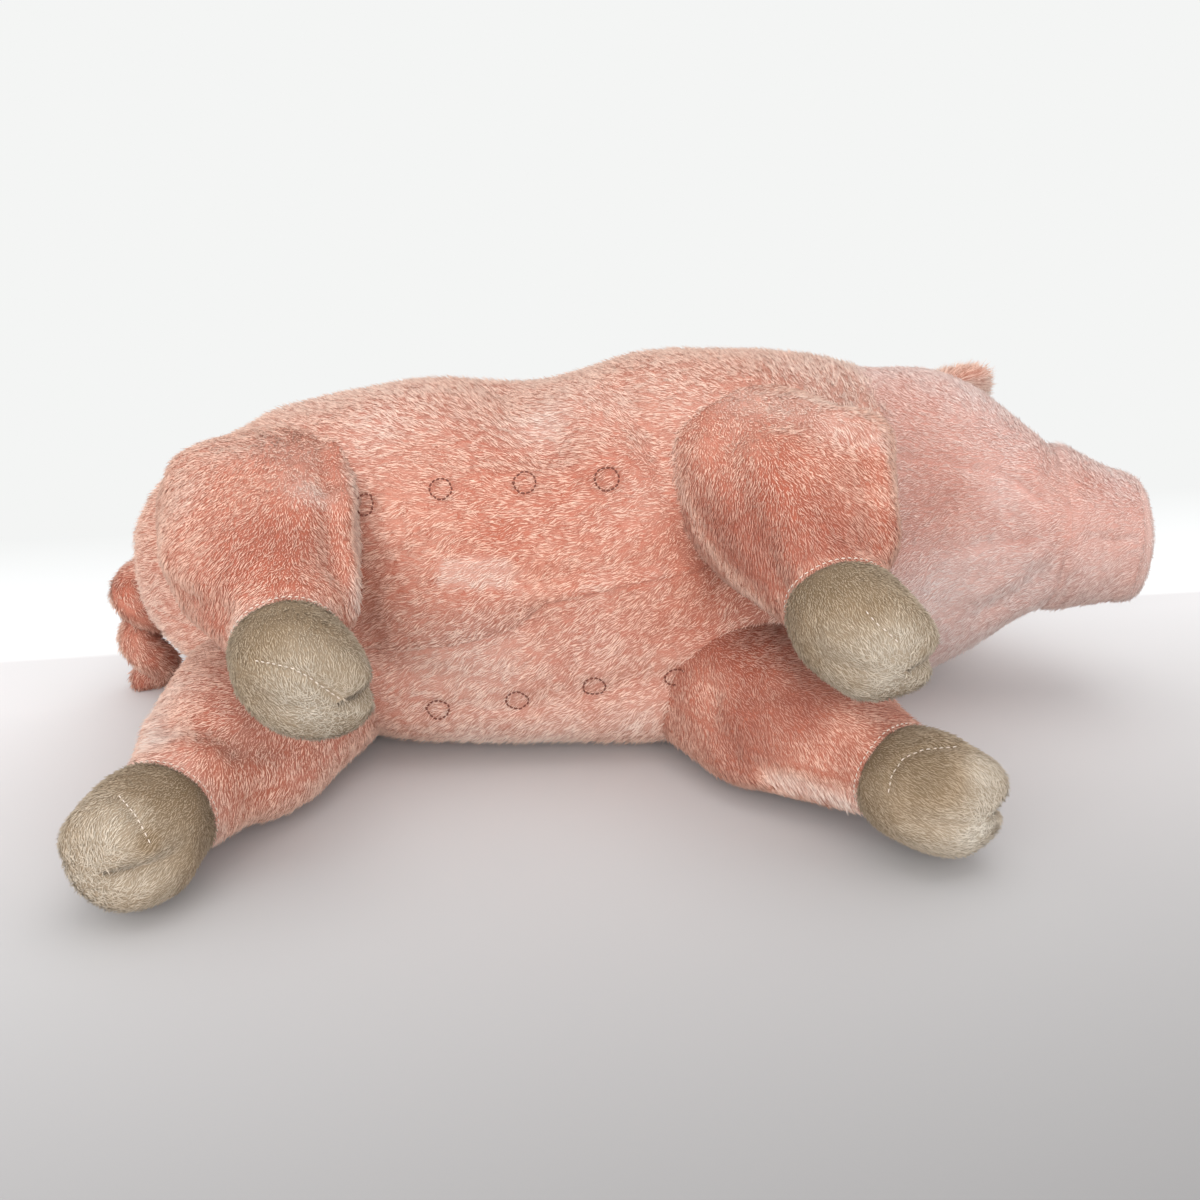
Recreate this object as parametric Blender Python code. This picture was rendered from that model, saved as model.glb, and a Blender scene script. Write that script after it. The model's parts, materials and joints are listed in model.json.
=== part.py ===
"""A plush pig lying on its left side, as it is cut, sewn and stuffed.

The snout points along +X, the belly faces -Y and the right flank is up, so the pig's
left-to-right axis is the world's Z. Covers are shells of plush cloth with fibre stuffing
inside. Each leg, the head, the ears and the tail is a body of its own, whose root is a
round form seated in a round seat, so that it turns about its seam as the soft joint does.
Lengths are in metres.
"""

import math

import bmesh
import bpy
from mathutils import Matrix, Vector
from mathutils.bvhtree import BVHTree

# Cloth and clearances
PLUSH = 0.004  # backing and laid pile of the body cloth
HOOF_PLUSH = 0.003  # the shorter pile of the hooves
SEAM_GAP = 0.0003  # between pieces that are sewn or pressed together
STUFFING_GAP = 0.0005  # between a cover and the fibre in it
SEAT_GAP = 0.0012  # round a root that turns in its seat
FLOOR_BITE = 0.0005  # how deep the floor flattens what lies on it

# Trunk
TRUNK_LENGTH = 0.330
TRUNK_WIDTH = 0.150  # flank to flank, which stands upright in this pose
TRUNK_DEPTH = 0.160  # belly to back
TRUNK_SIDES = 24
# Place along the trunk, half depth, half width, shift towards the back, shift up
TRUNK_SHARES = (
    (0.045, 0.44, 0.37, 0.00, 0.907),
    (0.120, 0.66, 0.66, 0.00, 0.940),
    (0.220, 0.83, 0.88, -0.02, 0.980),
    (0.370, 0.96, 0.99, -0.04, 0.990),
    (0.530, 1.00, 0.977, -0.04, 0.977),
    (0.680, 0.99, 1.066, -0.03, 1.066),
    (0.800, 0.93, 1.073, 0.01, 1.073),
    (0.910, 0.84, 1.030, 0.11, 1.042),
    (1.000, 0.73, 0.970, 0.20, 1.015),
)
TRUNK_STEPS = 1  # rings made between two rows of the table
ORIGIN_SHARE = 0.625  # place along the trunk of this file's zero
SEAM_SHARE = 0.503  # height of the belly and back seam
TOP_POWER = 2.1  # how square the upper flank is; 2 is an ellipse
BED_POWER = 4.5  # the same for the flank that it lies on

# Head and snout
HEAD_DEPTH = 0.116  # throat to brow
HEAD_WIDTH = 0.148  # cheek to cheek
HEAD_REACH = 0.055  # middle of the head to the snout seam
HEAD_SEAT = 0.025  # middle of the head in front of the trunk's rim
NECK_GAP = 0.0018  # round the back of the head in the trunk
HEAD_SWING = (-15, 15)
HEAD_RISE = 0.022  # middle of the head behind the trunk's axis, towards the back
HEAD_SIDES = 20
SNOUT_ROOT_RADIUS = 0.0395
SNOUT_TIP_RADIUS = 0.0290
SNOUT_LENGTH = 0.041
SNOUT_DIP = 0.013  # how far the snout sits towards the throat
SNOUT_LIFT = 0.0055
SNOUT_TIP_DIP = 0.003
SNOUT_TIP_DROP = 0.0045
SEAM_TUCK = 0.0015  # how far the snout's seam draws in
SHELL_LIMIT = 1.6  # most that stuffing steps back in a corner
HEAD_BACK_RINGS = 4
# Place from the middle of the head to the snout seam, narrowing to the snout, tuck
HEAD_FRONT_SHARES = (
    (0.22, 0.13, 0.0),
    (0.45, 0.41, 0.0),
    (0.68, 0.73, 0.0),
    (0.88, 0.93, 0.0),
    (1.00, 1.00, 1.0),
)
# Place along the snout, narrowing to its tip
SNOUT_SHARES = ((0.14, 0.06), (0.50, 0.42), (0.86, 0.86), (1.00, 1.00))
NOSE_THICKNESS = 0.0045
NOSE_CROWN = 0.002
# Radius of the nose pad, height on its crown, place through its thickness
NOSE_SHARES = (
    (0.94, 0.0, 0.0),
    (1.0, 0.0, 0.35),
    (0.97, 0.0, 0.85),
    (0.84, 0.35, 1.0),
    (0.45, 0.85, 1.0),
)
NOSTRIL_RADIUS = 0.0045
NOSTRIL_DEPTH = 0.0015
NOSTRIL_SPREAD = 0.022
NOSTRIL_SIDES = 12

# Eyes
EYE_RADIUS = 0.0048
EYE_DOME = 0.0036
SHANK_RADIUS = 0.0016
EYE_SEAT = 0.0008  # how deep the dome sits in the cloth
EYE_SIDES = 16
# Radius and height of the dome, from its rim to near its top
EYE_SHARES = ((1.0, 0.08), (0.93, 0.45), (0.72, 0.76), (0.40, 0.94))
WASHER_RADIUS = 0.0055
WASHER_THICKNESS = 0.0012
WASHER_SETTLE = 0.0012  # from the cloth's inside to the flat washer
SHANK_TAIL = 0.0020  # shank that shows past its washer
EYE_FORWARD_ANGLE = 38  # degrees from the ears' line towards the snout
EYE_SIDE_ANGLE = 48  # degrees from the brow towards the side

# Ears
EAR_WIDTH = 0.044
EAR_LENGTH = 0.055
EAR_THICKNESS = 0.0065
EAR_SIDE_ANGLE = 48  # degrees from the brow towards the side
EAR_FORWARD = -0.002
EAR_SINK = 0.0022  # how deep its seam lies in the cover
EAR_LEAN = 54  # degrees that the ear flops forward at rest
EAR_CURL = 0.008  # how far its tip curls forward
EAR_CUP = 0.0030  # how far its edges reach back round the head
EAR_SWING = (-12, 40)
EAR_SIDES = 12
EAR_ROOT_RINGS = 3
# Place along the ear, width, thickness
EAR_SHARES = (
    (0.00, 0.88, 1.0),
    (0.14, 0.96, 1.0),
    (0.28, 1.00, 1.0),
    (0.46, 0.98, 1.0),
    (0.64, 0.84, 0.9),
    (0.81, 0.60, 0.8),
    (0.93, 0.34, 0.7),
)

# Tail
TAIL_ROOT_RADIUS = 0.0070
TAIL_TIP_RADIUS = 0.0054
TAIL_CURL_RADIUS = 0.0060
TAIL_DROP = 0.0495  # height of the curl
TAIL_STAND_OFF = 0.0095  # root to the curl's axis, away from the rump
TAIL_SINK = 0.0015  # how deep its root is set in the rump
TAIL_BACK = 0.008  # how far its root is from the trunk's axis, towards the back
TAIL_HEIGHT_SHARE = 0.385
TAIL_TURNS = 2.3
TAIL_GAP = 0.0006  # round its root in the trunk
TAIL_SWING = (-15, 15)
TAIL_SIDES = 8
TAIL_POINTS = 26
TAIL_END_ANGLES = (30, 60)  # degrees of the rings that round its ends

# Legs: each is a round haunch, a tapering shank and a hoof
LEG_SIDES = 16
HAUNCH_RINGS = 3
SEAT_RINGS = 5  # rings of the shank that its seat in the trunk clears
BALL_SIDES = 24  # of the seats that round roots turn in
FLOOR_CLEAR = 0.0012  # a lying leg's haunch above the floor
SWING_POSES = 5  # poses of the leg whose hull is its seat in the trunk
ANKLE_HALF_WIDTH = 0.0198
ANKLE_HALF_HEIGHT = 0.0198
HOOF_HALF_WIDTH = 0.0228
HOOF_HALF_HEIGHT = 0.0225
HOOF_LENGTH = 0.043
CLEFT_DEPTH = 0.009
CLEFT_SPREAD = 20  # degrees that the cleft takes of the hoof's rim
CLEFT_START_SHARE = 0.30
CLEFT_END_SHARE = 0.25  # of its depth, how far the middle of the tip draws back
# Place along the shank, narrowing from the haunch to the ankle
SHANK_SHARES = ((0.22, 0.02), (0.43, 0.18), (0.64, 0.46), (0.84, 0.80), (1.00, 1.00))
# Place along the hoof, share of its full breadth
HOOF_SHARES = (
    (0.00, 0.86),
    (0.20, 0.98),
    (0.48, 1.00),
    (0.73, 0.91),
    (0.90, 0.68),
    (0.98, 0.36),
)
# Place along the trunk, depth towards the belly, half width and half height of the haunch,
# length from haunch to ankle, yaw of the leg from straight down, swing back, swing forward
LEGS = {
    "right_hind": dict(
        along_share=0.194, depth_share=0.585, height_share=0.686, haunch=(0.042, 0.0350),
        shank=0.094, yaw=19, droop=0.023, swing=(-25, 20), lies=False,
    ),
    "left_hind": dict(
        along_share=0.238, depth_share=0.650, height_share=0, haunch=(0.043, 0.0308),
        shank=0.108, yaw=-13, droop=0.006, swing=(-15, 40), lies=True,
    ),
    "right_front": dict(
        along_share=0.833, depth_share=0.585, height_share=0.790, haunch=(0.042, 0.038),
        shank=0.082, yaw=12, droop=0.026, swing=(-20, 25), lies=False,
    ),
    "left_front": dict(
        along_share=0.803, depth_share=0.715, height_share=0, haunch=(0.040, 0.0325),
        shank=0.089, yaw=33, droop=0.006, swing=(-40, 15), lies=True,
    ),
}

PINK = (0.80, 0.42, 0.36, 1.0)
PALE_PINK = (0.84, 0.55, 0.50, 1.0)
TAUPE = (0.42, 0.36, 0.28, 1.0)
FIBRE = (0.90, 0.90, 0.88, 1.0)
EYE_BLACK = (0.02, 0.015, 0.012, 1.0)
WASHER_WHITE = (0.85, 0.85, 0.83, 1.0)
ORIGIN = Vector((0, 0, 0))
FORWARD = Vector((1, 0, 0))  # towards the snout
SPINE = Vector((0, 1, 0))  # towards the back
UP = Vector((0, 0, 1))
frames = {}  # of each pivot, in this file's frame


def clear_scene():
    for obj in list(bpy.data.objects):
        bpy.data.objects.remove(obj)


def finish_of(name, colour, roughness):
    made = bpy.data.materials.new(name)
    made.use_nodes = True
    shader = made.node_tree.nodes["Principled BSDF"]
    shader.inputs["Base Color"].default_value = colour
    shader.inputs["Roughness"].default_value = roughness
    shader.inputs["Metallic"].default_value = 0.0
    return made


def smooth_rows(rows, steps):
    """Rows with `steps` more between each two, on a smooth curve through them."""
    made = []
    last = len(rows) - 1
    for i in range(last):
        four = rows[max(i - 1, 0)], rows[i], rows[i + 1], rows[min(i + 2, last)]
        for k in range(steps + 1):
            t = k / (steps + 1)
            weights = (
                (2 * t**2 - t - t**3) / 2,
                (2 - 5 * t**2 + 3 * t**3) / 2,
                (t + 4 * t**2 - 3 * t**3) / 2,
                (t**3 - t**2) / 2,
            )
            columns = zip(*four)
            made.append(tuple(sum(w * v for w, v in zip(weights, column)) for column in columns))
    return made + [rows[last]]


def section(centre, across, up, half_across, half_up, sides, top=2.0, bed=2.0):
    """A closed ring of points, oval at power 2 and squarer above it."""
    ring = []
    for k in range(sides):
        angle = 2 * math.pi * k / sides
        power = 2 / (top if math.sin(angle) >= 0 else bed)
        x = math.copysign(abs(math.cos(angle)) ** power, math.cos(angle))
        y = math.copysign(abs(math.sin(angle)) ** power, math.sin(angle))
        ring.append(centre + across * (half_across * x) + up * (half_up * y))
    return ring


def skin(name, rings, start, end):
    """A closed mesh through rings of equal count, from one end point to the other."""
    form = bmesh.new()
    rows = [[form.verts.new(p) for p in ring] for ring in rings]
    first, last = form.verts.new(start), form.verts.new(end)
    sides = len(rows[0])
    for k in range(sides):
        after = (k + 1) % sides
        form.faces.new((rows[0][after], rows[0][k], first))
        form.faces.new((rows[-1][k], rows[-1][after], last))
        for low, high in zip(rows, rows[1:]):
            form.faces.new((low[k], low[after], high[after], high[k]))
    return closed(name, form)


def closed(name, form):
    bmesh.ops.recalc_face_normals(form, faces=form.faces)
    if form.calc_volume(signed=True) < 0:
        bmesh.ops.reverse_faces(form, faces=form.faces)
    mesh = bpy.data.meshes.new(name)
    form.to_mesh(mesh)
    form.free()
    return mesh


def pivot(name, at, axis, parent):
    """An empty whose Z is the axis that the pieces under it turn about."""
    obj = bpy.data.objects.new(name, None)
    bpy.context.scene.collection.objects.link(obj)
    frames[name] = Matrix.Translation(at) @ UP.rotation_difference(axis).to_matrix().to_4x4()
    if parent is not None:
        obj.parent = parent
        obj.matrix_local = frames[parent.name].inverted() @ frames[name]
    return obj


def place(name, mesh, finish, parent):
    """A piece whose points are given in this file's frame, hung on a pivot."""
    mesh.transform(frames[parent.name].inverted())
    obj = bpy.data.objects.new(name, mesh)
    bpy.context.scene.collection.objects.link(obj)
    obj.parent = parent
    if finish is not None:
        mesh.materials.append(finish)
        mesh.shade_smooth()
    return obj


def cutter(name, mesh, parent):
    obj = place(name, mesh, None, parent)
    obj.hide_render = True
    obj.display_type = "WIRE"
    return obj


def cloth(obj, thickness):
    wall = obj.modifiers.new("Cloth", "SOLIDIFY")
    wall.thickness = thickness
    wall.offset = -1
    wall.use_even_offset = True


def cut(obj, *tools):
    for tool in tools:
        step = obj.modifiers.new("Cut " + tool.name, "BOOLEAN")
        step.operation = "DIFFERENCE"
        step.solver = "EXACT"
        step.object = tool


def moved_in(mesh, distance):
    """The same form a little smaller all round, as stuffing is inside its cover."""
    form = bmesh.new()
    form.from_mesh(mesh)
    form.normal_update()
    places = [v.co - v.normal * (distance * min(v.calc_shell_factor(), SHELL_LIMIT)) for v in form.verts]
    for vert, co in zip(form.verts, places):
        vert.co = co
    return closed(mesh.name + "_inner", form)


def ball_points(centre, across, upright, half_across, half_up, sides=BALL_SIDES):
    """Points on a round form that looks the same however it is turned about `upright`."""
    other = upright.cross(across)
    points = [centre + upright * half_up, centre - upright * half_up]
    for i in range(1, sides // 2):
        tilt = 2 * math.pi * i / sides
        for k in range(sides):
            turn = 2 * math.pi * k / sides
            flat = across * math.cos(turn) + other * math.sin(turn)
            level = centre + upright * (half_up * math.cos(tilt))
            points.append(level + flat * (half_across * math.sin(tilt)))
    return points


def swung(points, pivot, axis, degrees):
    turn = Matrix.Rotation(math.radians(degrees), 3, axis)
    return [pivot + turn @ (p - pivot) for p in points]


def swings(low, high):
    return [low + (high - low) * i / (SWING_POSES - 1) for i in range(SWING_POSES)]


def hull(name, points):
    form = bmesh.new()
    for p in points:
        form.verts.new(p)
    made = bmesh.ops.convex_hull(form, input=form.verts)
    spare = {g for g in made["geom_interior"] + made["geom_unused"] if isinstance(g, bmesh.types.BMVert)}
    bmesh.ops.delete(form, geom=list(spare), context="VERTS")
    return closed(name, form)


def half_space(name, point, normal, reach):
    """A block with one face through the point, on the side that the normal shows."""
    normal = normal.normalized()
    across = normal.orthogonal().normalized()
    other = normal.cross(across)
    form = bmesh.new()
    bmesh.ops.create_cube(form, size=2)
    for vert in form.verts:
        a, b, c = vert.co
        vert.co = point + across * (a * reach) + other * (b * reach) + normal * ((c + 1) * reach)
    return closed(name, form)


def turned(name, profile, base, axis, sides):
    """A solid turned about an axis from rows of radius and height; its ends lie on the axis."""
    axis = axis.normalized()
    across = axis.orthogonal().normalized()
    other = axis.cross(across)
    rings = [
        [
            base + axis * height + across * (radius * math.cos(turn)) + other * (radius * math.sin(turn))
            for turn in (2 * math.pi * k / sides for k in range(sides))
        ]
        for radius, height in profile[1:-1]
    ]
    return skin(name, rings, base + axis * profile[0][1], base + axis * profile[-1][1])


def ring_about(name, inner, outer, low, high, base, axis, sides):
    """A flat washer about an axis."""
    axis = axis.normalized()
    across = axis.orthogonal().normalized()
    other = axis.cross(across)
    form = bmesh.new()
    rows = []
    for radius, height in ((inner, low), (outer, low), (outer, high), (inner, high)):
        rows.append([
            form.verts.new(
                base + axis * height + across * (radius * math.cos(turn)) + other * (radius * math.sin(turn))
            )
            for turn in (2 * math.pi * k / sides for k in range(sides))
        ])
    for low_row, high_row in zip(rows, rows[1:] + rows[:1]):
        for k in range(sides):
            after = (k + 1) % sides
            form.faces.new((low_row[k], low_row[after], high_row[after], high_row[k]))
    return closed(name, form)


def on_surface(mesh, centre, direction):
    """The point and the normal of a form where a line from its middle comes out."""
    form = bmesh.new()
    form.from_mesh(mesh)
    tree = BVHTree.FromBMesh(form)
    form.free()
    point, normal, _, _ = tree.ray_cast(centre, direction.normalized())
    return point, normal


def sweep(name, path, radii, sides, end_angles):
    """A round solid along a path, with rounded ends."""
    rings = []
    side = (path[1] - path[0]).orthogonal().normalized()
    ends = []
    for i, (p, radius) in enumerate(zip(path, radii)):
        along = (path[min(i + 1, len(path) - 1)] - path[max(i - 1, 0)]).normalized()
        side = (side - along * side.dot(along)).normalized()
        other = along.cross(side)
        if i in (0, len(path) - 1):
            out = -1 if i == 0 else 1
            caps = [
                section(p + along * (out * radius * math.sin(a)), side, other,
                        radius * math.cos(a), radius * math.cos(a), sides)
                for a in (math.radians(angle) for angle in end_angles)
            ]
            ends.append(p + along * (out * radius))
            ring = section(p, side, other, radius, radius, sides)
            rings += caps[::-1] + [ring] if i == 0 else [ring] + caps
        else:
            rings.append(section(p, side, other, radius, radius, sides))
    return skin(name, rings, *ends)


clear_scene()
root = pivot("plush_pig", ORIGIN, UP, None)

pink = finish_of("Pink plush", PINK, 0.95)
pale_pink = finish_of("Pale pink plush", PALE_PINK, 0.9)
taupe = finish_of("Taupe plush", TAUPE, 0.95)
fibre = finish_of("Polyester fibre", FIBRE, 1.0)
black = finish_of("Black eye plastic", EYE_BLACK, 0.12)
white = finish_of("White washer plastic", WASHER_WHITE, 0.4)

# Trunk: two shells that meet at the belly and back seam, round one body of stuffing
half_width = TRUNK_WIDTH / 2
half_depth = TRUNK_DEPTH / 2
rows = []
for along, deep, wide, back, lift in smooth_rows(TRUNK_SHARES, TRUNK_STEPS):
    middle = Vector((
        TRUNK_LENGTH * (along - ORIGIN_SHARE),
        half_depth * back,
        half_width * lift - FLOOR_BITE,
    ))
    rows.append((middle, deep * half_depth, wide * half_width))
rump = Vector((-TRUNK_LENGTH * ORIGIN_SHARE, 0, rows[0][0].z))
rim = rows[-1][0]
trunk_form = skin(
    "trunk_form",
    [section(m, SPINE, UP, d, w, TRUNK_SIDES, TOP_POWER, BED_POWER) for m, d, w in rows],
    rump,
    rim,
)
seam_height = TRUNK_WIDTH * SEAM_SHARE
below_seam = cutter("below_seam", half_space(
    "below_seam", Vector((0, 0, seam_height + SEAM_GAP / 2)), -UP, TRUNK_LENGTH), root)
above_seam = cutter("above_seam", half_space(
    "above_seam", Vector((0, 0, seam_height - SEAM_GAP / 2)), UP, TRUNK_LENGTH), root)
floor = cutter("floor", half_space("floor", ORIGIN, -UP, TRUNK_LENGTH), root)

right_panel = place("trunk_right_panel", trunk_form.copy(), pink, root)
left_panel = place("trunk_left_panel", trunk_form.copy(), pink, root)
trunk_stuffing = place("trunk_stuffing", moved_in(trunk_form, PLUSH + STUFFING_GAP), fibre, root)
for panel, other_half in ((right_panel, below_seam), (left_panel, above_seam)):
    cloth(panel, PLUSH)
    cut(panel, other_half)
cut(left_panel, floor)

# Head: a round cheek form and a snout in one, cut into the pieces that are sewn together
head_at = Vector((rim.x + HEAD_SEAT, HEAD_RISE, HEAD_WIDTH / 2 - FLOOR_BITE))
head_pivot = pivot("head_pivot", head_at, UP, root)
head_half_depth = HEAD_DEPTH / 2
head_half_width = HEAD_WIDTH / 2
rings = []
for i in range(1, HEAD_BACK_RINGS + 1):
    tilt = math.pi / 2 * i / HEAD_BACK_RINGS
    rings.append(section(
        head_at - Vector((head_half_depth * math.cos(tilt), 0, 0)), SPINE, UP,
        head_half_depth * math.sin(tilt), head_half_width * math.sin(tilt), HEAD_SIDES))
for along, narrowing, tuck in HEAD_FRONT_SHARES:
    rings.append(section(
        head_at + Vector((HEAD_REACH * along, -SNOUT_DIP * narrowing, SNOUT_LIFT * narrowing)),
        SPINE, UP,
        head_half_depth + (SNOUT_ROOT_RADIUS - head_half_depth) * narrowing - SEAM_TUCK * tuck,
        head_half_width + (SNOUT_ROOT_RADIUS - head_half_width) * narrowing - SEAM_TUCK * tuck,
        HEAD_SIDES))
snout_at = head_at + Vector((HEAD_REACH, -SNOUT_DIP, SNOUT_LIFT))
nose_at = snout_at + Vector((SNOUT_LENGTH, -SNOUT_TIP_DIP, -SNOUT_TIP_DROP))
for along, narrowing in SNOUT_SHARES:
    radius = SNOUT_ROOT_RADIUS + (SNOUT_TIP_RADIUS - SNOUT_ROOT_RADIUS) * narrowing
    rings.append(section(snout_at.lerp(nose_at, along), SPINE, UP, radius, radius, HEAD_SIDES))
head_form = skin("head_form", rings, head_at - Vector((head_half_depth, 0, 0)), nose_at)

before_snout = cutter("before_snout", half_space(
    "before_snout", snout_at + FORWARD * (SEAM_GAP / 2), -FORWARD, TRUNK_WIDTH), head_pivot)
past_snout_seam = cutter("past_snout_seam", half_space(
    "past_snout_seam", snout_at - FORWARD * (SEAM_GAP / 2), FORWARD, TRUNK_WIDTH), head_pivot)
nose_space = cutter("nose_space", half_space(
    "nose_space", nose_at - FORWARD * (NOSE_THICKNESS + SEAM_GAP), FORWARD, TRUNK_WIDTH), head_pivot)
head_floor = cutter("head_floor", half_space(
    "head_floor", Vector((0, 0, FLOOR_BITE)), -UP, TRUNK_LENGTH), head_pivot)

head_cover = place("head_cover", head_form.copy(), pink, head_pivot)
cloth(head_cover, PLUSH)
cut(head_cover, past_snout_seam, head_floor)
snout_cover = place("snout_cover", head_form.copy(), pink, head_pivot)
cloth(snout_cover, PLUSH)
cut(snout_cover, before_snout, nose_space)
head_stuffing = place("head_stuffing", moved_in(head_form, PLUSH + STUFFING_GAP), fibre, head_pivot)
cut(head_stuffing, nose_space)

# Nose pad: a crowned disc with two embroidered nostrils pressed into it
nose_rows = [(0, -NOSE_THICKNESS)]
nose_rows += [(SNOUT_TIP_RADIUS * r, NOSE_CROWN * h - NOSE_THICKNESS * (1 - s)) for r, h, s in NOSE_SHARES]
nose_rows += [(0, NOSE_CROWN)]
nose_disc = turned("nose_pad", nose_rows, nose_at, FORWARD, HEAD_SIDES)
nose_pad = place("nose_pad", nose_disc, pale_pink, head_pivot)
for side in (1, -1):
    at = nose_at + UP * (side * NOSTRIL_SPREAD / 2) + FORWARD * NOSE_CROWN
    nostril = hull("nostril", ball_points(at, UP, FORWARD, NOSTRIL_RADIUS, NOSTRIL_DEPTH, NOSTRIL_SIDES))
    cut(nose_pad, cutter("nostril_right" if side > 0 else "nostril_left", nostril, head_pivot))

# The neck end of the trunk takes the back of the head, which nods in it
neck_seat = cutter("neck_seat", hull("neck_seat", ball_points(
    head_at, FORWARD, UP, head_half_depth + NECK_GAP, head_half_width + NECK_GAP)), root)
cut(right_panel, neck_seat)
cut(left_panel, neck_seat)
cut(trunk_stuffing, neck_seat)

# Eyes: a domed head and shank in one, held by a washer inside the cover
for name, side in (("right", 1), ("left", -1)):
    forward = math.radians(EYE_FORWARD_ANGLE)
    sideways = math.radians(EYE_SIDE_ANGLE)
    look = Vector((
        math.sin(forward),
        math.cos(forward) * math.cos(sideways),
        side * math.cos(forward) * math.sin(sideways),
    ))
    at, out = on_surface(head_form, head_at, look)
    washer_top = -PLUSH - WASHER_SETTLE
    shank_end = washer_top - WASHER_THICKNESS - SHANK_TAIL
    profile = [(0, shank_end), (SHANK_RADIUS, shank_end), (SHANK_RADIUS, -EYE_SEAT), (EYE_RADIUS, -EYE_SEAT)]
    profile += [(EYE_RADIUS * r, EYE_DOME * h) for r, h in EYE_SHARES]
    profile += [(0, EYE_DOME)]
    place("eye_" + name, turned("eye", profile, at, out, EYE_SIDES), black, head_pivot)
    washer = ring_about(
        "washer", SHANK_RADIUS + SEAM_GAP, WASHER_RADIUS, washer_top - WASHER_THICKNESS, washer_top,
        at, out, EYE_SIDES)
    place("eye_washer_" + name, washer, white, head_pivot)
    hole = SHANK_RADIUS + SEAM_GAP
    dome_hole = EYE_RADIUS + SEAM_GAP
    cut(head_cover, cutter("eye_seat_" + name, turned("eye_seat", [
        (0, -PLUSH * 2), (hole, -PLUSH * 2), (hole, -EYE_SEAT - SEAM_GAP), (dome_hole, -EYE_SEAT - SEAM_GAP),
        (dome_hole, EYE_DOME), (0, EYE_DOME),
    ], at, out, EYE_SIDES), head_pivot))
    well = WASHER_RADIUS + SEAM_GAP
    cut(head_stuffing, cutter("washer_well_" + name, turned("washer_well", [
        (0, shank_end - SEAM_GAP), (well, shank_end - SEAM_GAP), (well, 0), (0, 0),
    ], at, out, EYE_SIDES), head_pivot))

# Ears: cupped leaves sewn along a seam that they flop about
for name, side in (("right", 1), ("left", -1)):
    sideways = math.radians(EAR_SIDE_ANGLE)
    over = Vector((0, math.cos(sideways), side * math.sin(sideways)))
    at, out = on_surface(head_form, head_at + FORWARD * EAR_FORWARD, over)
    hinge = FORWARD.cross(over).normalized()
    at = at - over * EAR_SINK
    ear_pivot = pivot("ear_pivot_" + name, at, hinge, head_pivot)
    lean = math.radians(EAR_LEAN)
    grow = over * math.cos(lean) + FORWARD * math.sin(lean)
    face = FORWARD * math.cos(lean) - over * math.sin(lean)
    rings = []
    for along, wide_share, thick_share in EAR_SHARES:
        half = EAR_WIDTH / 2 * wide_share
        centre = at + grow * (EAR_LENGTH * along) + face * (EAR_CURL * along**2)
        ring = []
        for p in section(ORIGIN, hinge, face, half, EAR_THICKNESS / 2 * thick_share, EAR_SIDES):
            cup = -EAR_CUP * (p.dot(hinge) / (EAR_WIDTH / 2)) ** 2
            ring.append(centre + p + grow * cup)
        rings.append(ring)
    base = at - grow * (EAR_THICKNESS / 2)
    tip = at + grow * EAR_LENGTH + face * EAR_CURL
    ear_mesh = skin("ear", rings, base, tip)
    place("ear_" + name, ear_mesh, pink, ear_pivot)
    root_points = [base] + [p for ring in rings[:EAR_ROOT_RINGS] for p in ring]
    cleared = []
    for degrees in swings(*EAR_SWING):
        for p in swung(root_points, at, hinge, degrees):
            cleared += [p + step * SEAT_GAP for step in (FORWARD, -FORWARD, over, -over, hinge, -hinge)]
    ear_room = cutter("ear_room_" + name, hull("ear_room", cleared), head_pivot)
    cut(head_cover, ear_room)
    cut(head_stuffing, ear_room)

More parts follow.
